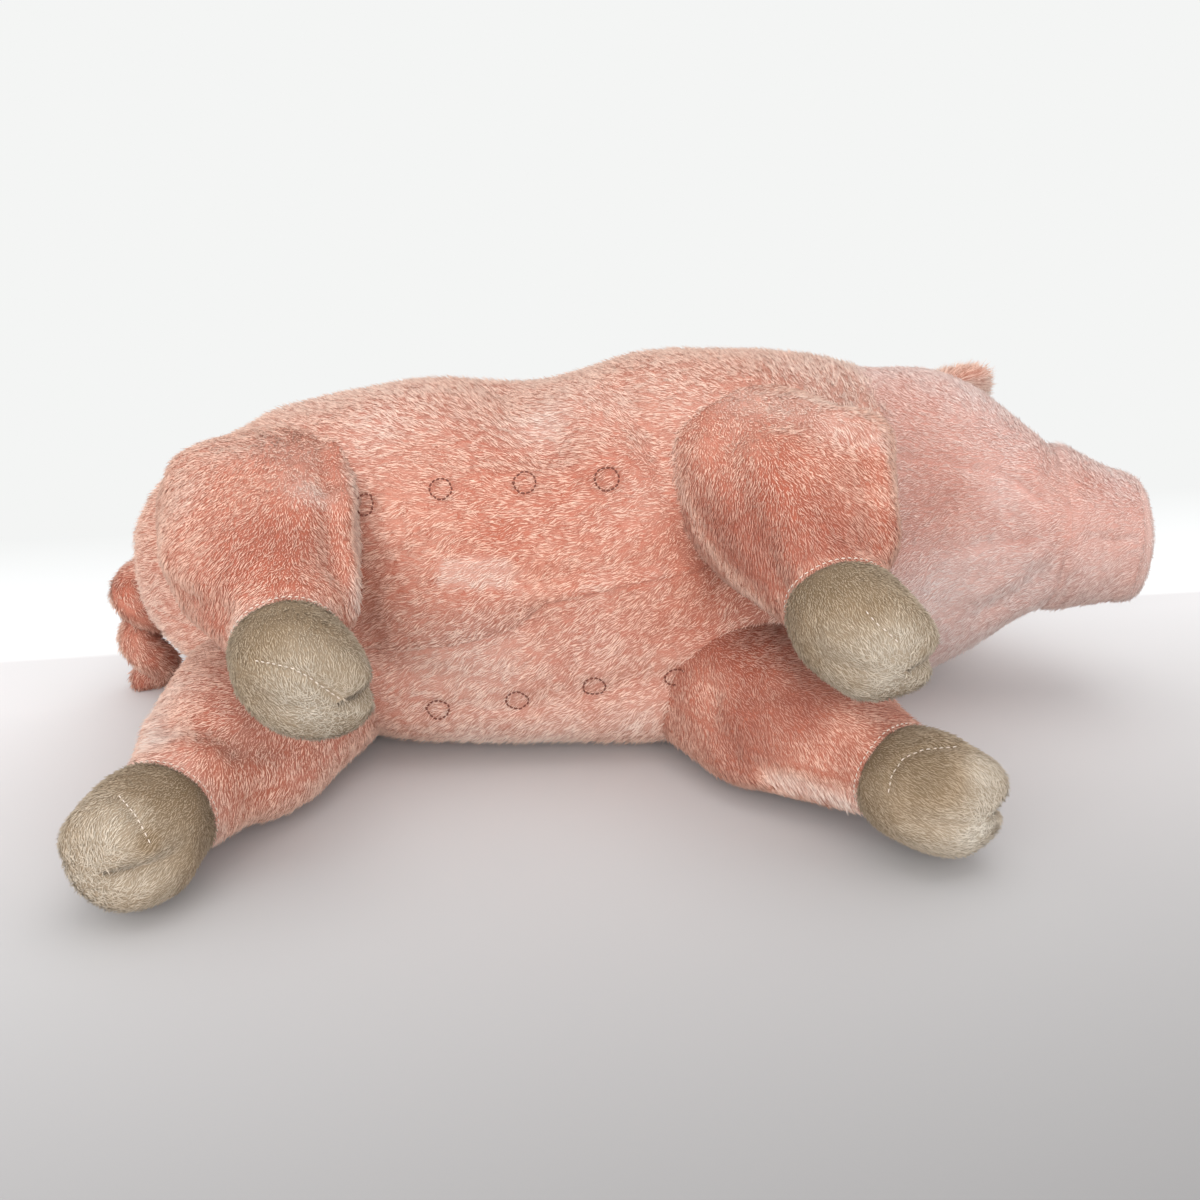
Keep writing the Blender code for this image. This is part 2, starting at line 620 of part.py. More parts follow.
# Legs: a haunch, a tapering shank and a cloven hoof, stuffed in one
for name, leg in LEGS.items():
    half_across, half_up = leg["haunch"]
    height = half_up + FLOOR_CLEAR if leg["lies"] else leg["height_share"] * TRUNK_WIDTH
    at = Vector((
        TRUNK_LENGTH * (leg["along_share"] - ORIGIN_SHARE),
        -leg["depth_share"] * half_depth,
        height,
    ))
    yaw = math.radians(leg["yaw"])
    dip = math.asin(leg["droop"] / leg["shank"])
    down = Vector((math.sin(yaw) * math.cos(dip), -math.cos(yaw) * math.cos(dip), -math.sin(dip)))
    across = Vector((math.cos(yaw), math.sin(yaw), 0))
    axis = across.cross(down).normalized()
    axis = axis if axis.z > 0 else -axis
    leg_pivot = pivot("leg_pivot_" + name, at, axis, root)
    rings = []
    for i in range(1, HAUNCH_RINGS + 1):
        tilt = math.pi / 2 * i / HAUNCH_RINGS
        rings.append(section(
            at - down * (half_across * math.cos(tilt)), across, axis,
            half_across * math.sin(tilt), half_up * math.sin(tilt), LEG_SIDES))
    for along, narrowing in SHANK_SHARES:
        rings.append(section(
            at + down * (leg["shank"] * along), across, axis,
            half_across + (ANKLE_HALF_WIDTH - half_across) * narrowing,
            half_up + (ANKLE_HALF_HEIGHT - half_up) * narrowing, LEG_SIDES))
    shank_rings = rings[HAUNCH_RINGS - 1:]
    ankle = at + down * leg["shank"]
    for along, breadth in HOOF_SHARES:
        ring = section(
            ankle + down * (HOOF_LENGTH * along), across, axis,
            HOOF_HALF_WIDTH * breadth, HOOF_HALF_HEIGHT * breadth, LEG_SIDES)
        centre = ankle + down * (HOOF_LENGTH * along)
        cleft = CLEFT_DEPTH * breadth * max(0, along - CLEFT_START_SHARE) / (1 - CLEFT_START_SHARE)
        notched = []
        for k, p in enumerate(ring):
            off = math.degrees(2 * math.pi * min(k % (LEG_SIDES // 2), -k % (LEG_SIDES // 2)) / LEG_SIDES)
            toward = (p - centre).normalized()
            notched.append(p - toward * (cleft * math.exp(-((off / CLEFT_SPREAD) ** 2))))
        rings.append(notched)
    toe = ankle + down * (HOOF_LENGTH - CLEFT_DEPTH * CLEFT_END_SHARE)
    leg_form = skin("leg_form", rings, at - down * half_across, toe)

    to_body = cutter("to_body_" + name, half_space(
        "to_body", ankle + down * (SEAM_GAP / 2), -down, TRUNK_WIDTH), leg_pivot)
    to_toe = cutter("to_toe_" + name, half_space(
        "to_toe", ankle - down * (SEAM_GAP / 2), down, TRUNK_WIDTH), leg_pivot)
    cover = place("leg_cover_" + name, leg_form.copy(), pink, leg_pivot)
    cloth(cover, PLUSH)
    cut(cover, to_toe)
    hoof = place("hoof_" + name, leg_form.copy(), taupe, leg_pivot)
    cloth(hoof, HOOF_PLUSH)
    cut(hoof, to_body)
    place("leg_stuffing_" + name, moved_in(leg_form, PLUSH + STUFFING_GAP), fibre, leg_pivot)

    room = ball_points(at, across, axis, half_across + SEAT_GAP, half_up + SEAT_GAP)
    outline = [
        p + (p - at - down * (p - at).dot(down)).normalized() * SEAT_GAP
        for ring in shank_rings[:SEAT_RINGS] for p in ring
    ]
    for degrees in swings(*leg["swing"]):
        room += swung(outline, at, axis, degrees)
    seat = cutter("haunch_seat_" + name, hull("haunch_seat", room), root)
    cut(right_panel, seat)
    cut(left_panel, seat)
    cut(trunk_stuffing, seat)

# Tail: a stuffed tube that drops in a curl from a round root
tail_at = Vector((rump.x + TAIL_SINK, TAIL_BACK, TRUNK_WIDTH * TAIL_HEIGHT_SHARE))
tail_pivot = pivot("tail_pivot", tail_at, UP, root)
curl_axis = tail_at + Vector((-TAIL_STAND_OFF, -TAIL_CURL_RADIUS, 0))
path = [tail_at, tail_at.lerp(curl_axis + Vector((0, TAIL_CURL_RADIUS, 0)), 0.5)]
for i in range(TAIL_POINTS):
    t = i / (TAIL_POINTS - 1)
    turn = math.pi / 2 + 2 * math.pi * TAIL_TURNS * t
    path.append(curl_axis + Vector((
        TAIL_CURL_RADIUS * math.cos(turn),
        TAIL_CURL_RADIUS * math.sin(turn),
        -TAIL_DROP * t,
    )))
radii = [TAIL_ROOT_RADIUS, TAIL_ROOT_RADIUS]
radii += [
    TAIL_ROOT_RADIUS + (TAIL_TIP_RADIUS - TAIL_ROOT_RADIUS) * i / (TAIL_POINTS - 1)
    for i in range(TAIL_POINTS)
]
tail = place("tail", sweep("tail", path, radii, TAIL_SIDES, TAIL_END_ANGLES), pink, tail_pivot)
tail_clear = TAIL_ROOT_RADIUS + TAIL_GAP
tail_room = ball_points(tail_at, FORWARD, UP, tail_clear, tail_clear)
for degrees in swings(*TAIL_SWING):
    stub = ball_points(path[1], FORWARD, UP, tail_clear, tail_clear)
    tail_room += swung(stub, tail_at, UP, degrees)
tail_seat = cutter("tail_seat", hull("tail_seat", tail_room), root)
cut(right_panel, tail_seat)
cut(left_panel, tail_seat)
cut(trunk_stuffing, tail_seat)

# The pig's place: the middle of its outline on the floor is the origin
bpy.context.view_layer.update()
graph = bpy.context.evaluated_depsgraph_get()
corners = []
for obj in bpy.context.scene.objects:
    if obj.type == "MESH" and not obj.hide_render:
        shape = obj.evaluated_get(graph)
        corners += [shape.matrix_world @ v.co for v in shape.data.vertices]
root.location = (
    -(min(c.x for c in corners) + max(c.x for c in corners)) / 2,
    -(min(c.y for c in corners) + max(c.y for c in corners)) / 2,
    -min(c.z for c in corners),
)
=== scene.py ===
import json
import math

import bmesh
import bpy
import numpy as np
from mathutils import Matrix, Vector, noise
from mathutils.bvhtree import BVHTree


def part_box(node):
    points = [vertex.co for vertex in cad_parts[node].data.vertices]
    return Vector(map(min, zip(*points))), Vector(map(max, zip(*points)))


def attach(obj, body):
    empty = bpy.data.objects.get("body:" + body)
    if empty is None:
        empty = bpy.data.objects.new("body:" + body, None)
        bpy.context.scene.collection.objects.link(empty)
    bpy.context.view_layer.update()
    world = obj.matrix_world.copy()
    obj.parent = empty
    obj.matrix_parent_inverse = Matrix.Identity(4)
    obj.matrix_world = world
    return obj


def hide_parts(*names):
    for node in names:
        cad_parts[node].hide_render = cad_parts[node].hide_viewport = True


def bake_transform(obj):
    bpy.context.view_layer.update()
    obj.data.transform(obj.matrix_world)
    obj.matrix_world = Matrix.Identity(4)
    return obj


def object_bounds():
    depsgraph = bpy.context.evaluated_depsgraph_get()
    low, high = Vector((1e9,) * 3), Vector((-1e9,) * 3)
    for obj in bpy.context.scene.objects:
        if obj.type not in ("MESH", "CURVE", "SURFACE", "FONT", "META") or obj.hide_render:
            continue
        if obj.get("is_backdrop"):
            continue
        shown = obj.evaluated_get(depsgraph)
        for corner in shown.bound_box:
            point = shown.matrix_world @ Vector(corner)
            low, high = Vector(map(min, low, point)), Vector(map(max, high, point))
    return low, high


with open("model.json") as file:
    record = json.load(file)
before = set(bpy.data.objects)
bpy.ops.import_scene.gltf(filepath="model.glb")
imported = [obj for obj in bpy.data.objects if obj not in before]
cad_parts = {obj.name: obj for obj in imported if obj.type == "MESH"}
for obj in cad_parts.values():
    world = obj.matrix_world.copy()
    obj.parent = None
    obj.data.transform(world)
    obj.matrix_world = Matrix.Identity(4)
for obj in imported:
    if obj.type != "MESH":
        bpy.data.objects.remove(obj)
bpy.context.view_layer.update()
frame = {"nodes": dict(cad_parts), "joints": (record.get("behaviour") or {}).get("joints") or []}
joint_at = {joint["name"]: Vector(joint["pos_m"]) for joint in frame["joints"]}


# Camera
# Stands where the photograph was taken, a little above the toy and square to its belly.
# Seams and stitches are placed by the photograph's pixels, along the sight lines from here.

ZERO = joint_at["neck_nod"] - Vector((0.14875, 0.022, 0.0735))  # middle of the trunk on the floor
EYE_POINT = ZERO + Vector((0, -0.56, 0.25))
LOOKS_DOWN = math.radians(20)
FOCAL_PIXELS = 1287
PHOTO_MIDDLE = 600
SIGHT = Vector((0, math.cos(LOOKS_DOWN), -math.sin(LOOKS_DOWN)))
SIGHT_UP = Vector((0, math.sin(LOOKS_DOWN), math.cos(LOOKS_DOWN)))

camera_lens = bpy.data.cameras.new("Camera")
camera_lens.sensor_width = 36
camera_lens.lens = 36 * FOCAL_PIXELS / 1200
camera_lens.clip_start = 0.01
camera = bpy.data.objects.new("Camera", camera_lens)
camera.location = EYE_POINT
camera.rotation_euler = (math.pi / 2 - LOOKS_DOWN, 0, 0)
bpy.context.scene.collection.objects.link(camera)
bpy.context.scene.camera = camera
bpy.context.scene.view_settings.view_transform = "Standard"


def seen_on(tree, pixels):
    """Where the sight lines through these pixels meet a surface, with its normals there."""
    found = []
    for across, down in pixels:
        line = SIGHT + Vector((1, 0, 0)) * ((across - PHOTO_MIDDLE) / FOCAL_PIXELS)
        line -= SIGHT_UP * ((down - PHOTO_MIDDLE) / FOCAL_PIXELS)
        place, normal, _, _ = tree.ray_cast(EYE_POINT, line.normalized())
        if place is not None:
            found.append((place, normal if normal.dot(line) < 0 else -normal))
    return found


# Trunk cover
# Two halves of long polyester plush, sewn right sides together along the belly and the back,
# turned and stuffed round. Each half is one skin of backing cloth with its pile standing on it.

PILE_ROOM = 0.0020  # the pile stands this far off its backing
BACKING = 0.0012  # thickness of the knitted backing
MAP = "OFBake"  # the piece's own map, from which each tuft takes its spot
LOWEST = 0.0002  # no tuft goes below this, as the floor holds it up
BODY_ROWS = (  # middle x, y, z, half depth, half width
    (-0.2072, 0.0000, 0.0680, 0.0010, 0.0010),
    (-0.2064, 0.0000, 0.0684, 0.0160, 0.0145),
    (-0.2032, 0.0000, 0.0688, 0.0262, 0.0236),
    (-0.1965, 0.0000, 0.0692, 0.0352, 0.0322),
    (-0.1850, 0.0000, 0.0696, 0.0440, 0.0408),
    (-0.1700, -0.0005, 0.0702, 0.0512, 0.0490),
    (-0.1520, -0.0012, 0.0714, 0.0590, 0.0568),
    (-0.1336, -0.0032, 0.0724, 0.0672, 0.0638),
    (-0.0842, -0.0056, 0.0740, 0.0800, 0.0742),
    (-0.0314, -0.0052, 0.0732, 0.0826, 0.0738),
    (0.0182, -0.0036, 0.0795, 0.0806, 0.0806),
    (0.0578, 0.0004, 0.0800, 0.0750, 0.0805),
    (0.0940, 0.0088, 0.0777, 0.0672, 0.0776),
    (0.1060, 0.0118, 0.0771, 0.0606, 0.0756),
    (0.1180, 0.0148, 0.0762, 0.0556, 0.0722),
    (0.1300, 0.0175, 0.0752, 0.0470, 0.0630),
    (0.1400, 0.0190, 0.0745, 0.0310, 0.0410),
    (0.1430, 0.0195, 0.0742, 0.0010, 0.0010),
)
FLANK_POWER, BED_POWER = 2.1, 4.5  # the side that it lies on is flat
BELLY_SEAM_RISE = ((-0.13, -0.006), (-0.0966, -0.005), (0.0, 0.0017), (0.0636, 0.0067), (0.10, 0.008))
TRUNK_RINGS, TRUNK_COLUMNS = 190, 96

TRUNK_FOLDS = (  # pixels, half breadth, depth
    (((350, 612), (420, 606), (520, 597), (600, 588), (690, 573)), 0.0060, -0.0014),
    (((500, 622), (600, 608), (690, 594), (760, 580)), 0.0035, 0.0016),
    (((520, 580), (600, 573), (690, 558), (760, 545)), 0.0035, 0.0014),
    (((640, 600), (700, 590), (770, 570)), 0.0035, 0.0010),
    (((650, 634), (705, 620), (775, 610)), 0.0040, 0.0018),
    (((655, 430), (668, 480), (700, 545), (750, 600)), 0.0080, 0.0045),
    (((505, 390), (530, 420), (552, 448)), 0.0130, 0.0052),
    (((575, 400), (590, 430), (600, 460)), 0.0100, -0.0022),
    (((440, 478), (520, 470), (610, 463), (660, 440)), 0.0045, -0.0012),
    (((625, 385), (645, 415), (655, 445)), 0.0055, 0.0026),
    (((600, 500), (640, 510), (690, 530)), 0.0080, 0.0018),
    (((420, 700), (520, 705), (600, 690), (680, 672)), 0.0060, 0.0015),
    (((372, 660), (420, 672), (470, 680)), 0.0050, 0.0018),
    (((365, 440), (370, 500), (368, 560), (372, 640)), 0.0050, 0.0022),
    (((380, 560), (430, 548), (480, 545)), 0.0060, 0.0014),
    (((400, 420), (430, 450), (450, 475)), 0.0070, 0.0014),
)
SWELLS = {  # round a haunch, towards where, how high, how far out
    "right_hind": ((-0.3, 0.0, 1.0), 0.0040, 0.018),
    "right_front": ((0.35, 0.0, 1.0), 0.0060, 0.018),
    "left_front": ((0.2, 0.0, 1.0), 0.0050, 0.012),
    "left_hind": ((-0.2, 0.0, 1.0), 0.0050, 0.012),
}
TRUNK_SHEEN_AND_LIGHT = (  # painted sheen of brushed pile and painted light low on the belly: pixel, reach, how much, and how crisp its edge is where it isn't soft
    (545, 425, 0.012, 0.9), (452, 572, 0.0062, 0.9, 8), (470, 572, 0.0066, 0.9, 8),
    (487, 572, 0.0066, 0.9, 8), (502, 573, 0.0068, 1.1, 10), (520, 590, 0.005, 0.4),
    (600, 586, 0.005, 0.4), (660, 576, 0.005, 0.4), (640, 500, 0.012, 0.3), (380, 430, 0.014, 0.3),
    (470, 650, 0.020, 0.45), (600, 655, 0.012, 0.2), (400, 735, 0.016, 0.5), (480, 738, 0.014, 0.5),
    (560, 735, 0.014, 0.5), (640, 722, 0.012, 0.5),
)
# plush colours: painted shade between the tufts, along them, at their tips, the painted sheen of brushed-up pile,
# and the painted shade that multiplies them
PINK_SHADE = (0.52, 0.36, 0.34)
PINK = ((0.47, 0.140, 0.085), (0.97, 0.600, 0.460), (0.99, 0.730, 0.590), (0.98, 0.81, 0.71), PINK_SHADE)


def through(rows, count):
    """This many rows on a smooth curve through the given ones."""
    rows = np.array(rows, float)
    last = len(rows) - 1
    place = np.linspace(0, last, count)
    i = np.minimum(place.astype(int), last - 1)
    t = (place - i)[:, None]
    four = rows[np.maximum(i - 1, 0)], rows[i], rows[i + 1], rows[np.minimum(i + 2, last)]
    weights = ((2 * t**2 - t - t**3) / 2, (2 - 5 * t**2 + 3 * t**3) / 2,
               (t + 4 * t**2 - 3 * t**3) / 2, (t**3 - t**2) / 2)
    return sum(w * row for w, row in zip(weights, four))


def wrapped(rows, across, upright, angles, top=2.0, bed=2.0):
    """Points round each row's middle, oval at power 2 and squarer above it."""
    angles = np.broadcast_to(angles, (len(rows), np.shape(angles)[-1]))
    cos, sin = np.cos(angles), np.sin(angles)
    power = np.where(sin >= 0, 2 / top, 2 / bed)
    x = np.sign(cos) * np.abs(cos) ** power * rows[:, 3:4]
    y = np.sign(sin) * np.abs(sin) ** power * rows[:, 4:5]
    return rows[:, None, :3] + x[..., None] * np.array(across) + y[..., None] * np.array(upright)


def outward(grid, closed):
    """The unit normals of a grid of points, away from the middle of each row."""
    if closed:
        round_it = np.roll(grid, -1, 1) - np.roll(grid, 1, 1)
    else:
        round_it = np.gradient(grid, axis=1)
    normals = np.cross(round_it, np.gradient(grid, axis=0))
    normals /= np.linalg.norm(normals, axis=2, keepdims=True) + 1e-12
    away = grid - grid.mean(1, keepdims=True)
    return normals if (normals * away).sum() > 0 else -normals


def folded(grid, normals, line, breadth, depth):
    """The grid with a groove, or a ridge if depth is negative, along a line of points."""
    line = np.array(line)
    near = np.full(grid.shape[:2], np.inf)
    for a, b in zip(line, line[1:]):
        t = np.clip(((grid - a) @ (b - a)) / ((b - a) @ (b - a)), 0, 1)
        near = np.minimum(near, np.linalg.norm(grid - a - t[..., None] * (b - a), axis=2))
    return grid - normals * (depth * np.exp(-((near / breadth) ** 2)))[..., None]


def lumpy(grid, normals, size, amount, seed):
    """The grid with soft lumps of this size, as stuffing gives."""
    shift = Vector((seed * 7.3, seed * 3.1, seed * 5.7))
    rise = [noise.noise(Vector(p) / size + shift) for p in grid.reshape(-1, 3)]
    return grid + normals * (amount * np.array(rise).reshape(grid.shape[:2]))[..., None]


def grabbed(grid, at, reach, by):
    """The grid with the points near a place drawn along."""
    near = np.linalg.norm(grid - np.array(at), axis=2) / reach
    return grid + np.exp(-(near**2))[..., None] * np.array(by)


def skin_of(name, grid, closed, start=None, end=None):
    """A mesh on a grid of points, with a map; start and end close it with a point."""
    rows, columns = grid.shape[:2]
    points = [Vector(p) for p in grid.reshape(-1, 3)]
    faces, spots = [], []
    wide = columns if closed else columns - 1

    def spot(j, k):
        return 0.01 + 0.98 * k / wide, 0.03 + 0.94 * j / (rows - 1)

    for j in range(rows - 1):
        for k in range(wide):
            after = (k + 1) % columns
            faces.append((j * columns + k, j * columns + after,
                          (j + 1) * columns + after, (j + 1) * columns + k))
            spots += [spot(j, k), spot(j, k + 1), spot(j + 1, k + 1), spot(j + 1, k)]
    for pole, j, step in ((start, 0, -0.03), (end, rows - 1, 0.03)):
        if pole is None:
            continue
        points.append(Vector(pole))
        for k in range(wide):
            ring = [j * columns + k, j * columns + (k + 1) % columns]
            corners = [spot(j, k), spot(j, k + 1)]
            middle = ((corners[0][0] + corners[1][0]) / 2, corners[0][1] + step)
            order = (1, 0) if j == 0 else (0, 1)
            faces.append((ring[order[0]], ring[order[1]], len(points) - 1))
            spots += [corners[order[0]], corners[order[1]], middle]
    mesh = bpy.data.meshes.new(name)
    mesh.from_pydata(points, [], faces)
    mesh.uv_layers.new(name=MAP).data.foreach_set("uv", np.array(spots, np.float32).ravel())
    out = sum(f.normal.dot(f.center - Vector(grid.reshape(-1, 3).mean(0))) * f.area for f in mesh.polygons)
    if out < 0:
        mesh.flip_normals()
    mesh.shade_smooth()
    return mesh


def tree_of(form):
    """What sight lines and nearness are worked out against."""
    form = form if isinstance(form, list) else [form]
    shape = bmesh.new()
    for mesh in form:
        shape.from_mesh(mesh)
    tree = BVHTree.FromBMesh(shape)
    shape.free()
    return tree


def add(tree, kind, inputs=(), **settings):
    """A node of a tree, with its inputs linked or set."""
    made = tree.nodes.new(kind)
    for key, value in settings.items():
        setattr(made, key, value)
    for name, value in dict(inputs).items():
        socket = made.inputs[name]
        if isinstance(value, bpy.types.NodeSocket):
            tree.links.new(value, socket)
        else:
            socket.default_value = value
    return made


def pile_tree():
    """Plush pile: leaning tufts all over a skin, combed along its nap and short at its seams."""
    tree = bpy.data.node_groups.new("Plush pile", "GeometryNodeTree")
    tree.is_modifier = True
    socket = tree.interface.new_socket
    socket("Geometry", in_out="INPUT", socket_type="NodeSocketGeometry")
    for name in ("Spacing", "Length", "Width", "Lean", "Swirl", "Swirl size", "Seam breadth", "Clumps"):
        socket(name, in_out="INPUT", socket_type="NodeSocketFloat")
    for name in ("Seams", "Tuft"):
        socket(name, in_out="INPUT", socket_type="NodeSocketObject")
    socket("Finish", in_out="INPUT", socket_type="NodeSocketMaterial")
    socket("Geometry", in_out="OUTPUT", socket_type="NodeSocketGeometry")
    given = add(tree, "NodeGroupInput").outputs

    def math_of(operation, a, b=0.0):
        return add(tree, "ShaderNodeMath", {0: a, 1: b}, operation=operation).outputs[0]

    def vector_of(operation, a, b=None, scale=None):
        given_ones = {key: value for key, value in ((0, a), (1, b), (3, scale)) if value is not None}
        made = add(tree, "ShaderNodeVectorMath", given_ones, operation=operation)
        return made.outputs["Value" if operation in ("DOT_PRODUCT", "LENGTH") else "Vector"]

    def named(name, kind):
        return add(tree, "GeometryNodeInputNamedAttribute", {"Name": name}, data_type=kind).outputs["Attribute"]

    def random_of(low, high, seed):
        made = add(tree, "FunctionNodeRandomValue", {"Seed": seed, 2: low, 3: high}, data_type="FLOAT")
        return made.outputs[1]

    spread = add(tree, "GeometryNodeDistributePointsOnFaces", {
        "Mesh": given["Geometry"], "Distance Min": given["Spacing"], "Density Max": 4.0e6,
        "Density Factor": named("cover", "FLOAT"), "Seed": 3}, distribute_method="POISSON")
    points, normal = spread.outputs["Points"], spread.outputs["Normal"]
    place = add(tree, "GeometryNodeInputPosition").outputs[0]
    for name, value, kind in (
        ("lie", normal, "FLOAT_VECTOR"), ("spot", named(MAP, "FLOAT_VECTOR"), "FLOAT_VECTOR"),
        ("lot", random_of(0.0, 1.0, 11), "FLOAT"),
    ):
        points = add(tree, "GeometryNodeStoreNamedAttribute", {
            "Geometry": points, "Name": name, "Value": value}, data_type=kind).outputs[0]
    swirl = add(tree, "ShaderNodeTexNoise", {
        "Vector": place, "Scale": math_of("DIVIDE", 1.0, given["Swirl size"]), "Detail": 3.0,
        "Roughness": 0.55}).outputs["Color"]
    swirl = vector_of("SUBTRACT", swirl, (0.5, 0.5, 0.5))
    stray = add(tree, "ShaderNodeTexWhiteNoise", {"Vector": place}, noise_dimensions="3D").outputs["Color"]
    stray = vector_of("SCALE", vector_of("SUBTRACT", stray, (0.5, 0.5, 0.5)), scale=0.55)
    comb = vector_of("ADD", named("nap", "FLOAT_VECTOR"), vector_of("SCALE", swirl, scale=given["Swirl"]))
    comb = vector_of("ADD", comb, stray)
    lie = named("lie", "FLOAT_VECTOR")
    comb = vector_of("NORMALIZE", vector_of("SUBTRACT", comb, vector_of(
        "SCALE", lie, scale=vector_of("DOT_PRODUCT", comb, lie))))
    lean = math_of("MULTIPLY", given["Lean"], random_of(0.65, 1.5, 5))
    aim = vector_of("ADD", vector_of("SCALE", comb, scale=math_of("COSINE", lean)),
                    vector_of("SCALE", lie, scale=math_of("SINE", lean)))
    roll = vector_of("ADD", lie, vector_of(
        "SCALE", vector_of("CROSS_PRODUCT", comb, lie), scale=random_of(-0.9, 0.9, 13)))
    turn = add(tree, "FunctionNodeAxesToRotation", {
        "Primary Axis": aim, "Secondary Axis": roll}, primary_axis="Z", secondary_axis="Y").outputs[0]
    seams = add(tree, "GeometryNodeObjectInfo", {"Object": given["Seams"]}).outputs["Geometry"]
    away = add(tree, "GeometryNodeProximity", {"Geometry": seams}, target_element="EDGES").outputs["Distance"]
    short = add(tree, "ShaderNodeMapRange", {
        "Value": away, "From Min": 0.0, "From Max": given["Seam breadth"],
        "To Min": 0.45, "To Max": 1.0}, interpolation_type="SMOOTHSTEP").outputs[0]
    clump = add(tree, "ShaderNodeTexNoise", {"Vector": place, "Scale": 330.0, "Detail": 1.0}).outputs["Fac"]
    gap = add(tree, "ShaderNodeMapRange", {
        "Value": clump, "From Min": 0.40, "From Max": 0.55, "To Min": 1.0, "To Max": 0.0}).outputs[0]
    short = math_of("MULTIPLY", short, math_of("SUBTRACT", 1.0, math_of("MULTIPLY", gap, given["Clumps"])))
    long = math_of("MULTIPLY", math_of("MULTIPLY", given["Length"], named("length", "FLOAT")),
                   math_of("MULTIPLY", short, random_of(0.75, 1.2, 7)))
    broad = math_of("MULTIPLY", given["Width"], random_of(0.75, 1.25, 9))
    size = add(tree, "ShaderNodeCombineXYZ", {
        "X": broad, "Y": math_of("MULTIPLY", broad, 0.55), "Z": long}).outputs[0]
    points = add(tree, "GeometryNodeStoreNamedAttribute", {
        "Geometry": points, "Name": "seam", "Value": math_of("SUBTRACT", 1.0, short)},
        data_type="FLOAT").outputs[0]
    tuft = add(tree, "GeometryNodeObjectInfo", {"Object": given["Tuft"]}).outputs["Geometry"]
    tufts = add(tree, "GeometryNodeInstanceOnPoints", {
        "Points": points, "Instance": tuft, "Rotation": turn, "Scale": size}).outputs[0]
    whole = add(tree, "GeometryNodeRealizeInstances", {"Geometry": tufts}).outputs[0]
    done = add(tree, "GeometryNodeSetMaterial", {"Geometry": whole, "Material": given["Finish"]}).outputs[0]
    add(tree, "NodeGroupOutput", {"Geometry": done})
    return tree


def tuft_object():
    """One tuft of pile: a leaf of four faces that bends over at its knee."""
    mesh = bpy.data.meshes.new("Tuft")
    mesh.from_pydata([(-0.5, -0.4, 0), (0.5, -0.4, 0), (0, 0.6, 0.42), (0, -0.5, 1)], [],
                     [(1, 0, 2), (3, 1, 2), (0, 3, 2), (3, 0, 1)])
    mesh.attributes.new("along", "FLOAT", "POINT").data.foreach_set("value", (0, 0, 0.5, 1))
    return bpy.data.objects.new("Tuft", mesh)


PILE, TUFT = pile_tree(), tuft_object()


def spotted(grid, tree, spots, everywhere=0.0):
    """A field over a grid: a level all over, with more or less round places in the photograph."""
    field = np.full(grid.shape[:2], float(everywhere))
    for x, y, reach, amount, *crisp in spots:
        for p, _ in seen_on(tree, [(x, y)]):
            away = np.linalg.norm(grid - np.array(p), axis=2) / reach
            field += amount * np.exp(-(away ** (crisp[0] if crisp else 2)))
    return np.clip(field, -1, 1).reshape(-1)


def patchy(grid, size, low, high, seed):
    """A field over a grid that wanders between two levels, as a hand leaves plush."""
    shift = Vector((seed * 2.3, seed * 5.1, seed * 3.7))
    field = [noise.fractal(Vector(p) / size + shift, 0.9, 2.0, 3) for p in grid.reshape(-1, 3)]
    return low + (high - low) * np.clip(0.5 + 0.9 * np.array(field), 0, 1)


def risen(values, start, full):
    """How far each of these has come from start, as 0, to full, as 1."""
    return np.clip((values - start) / (full - start), 0, 1)


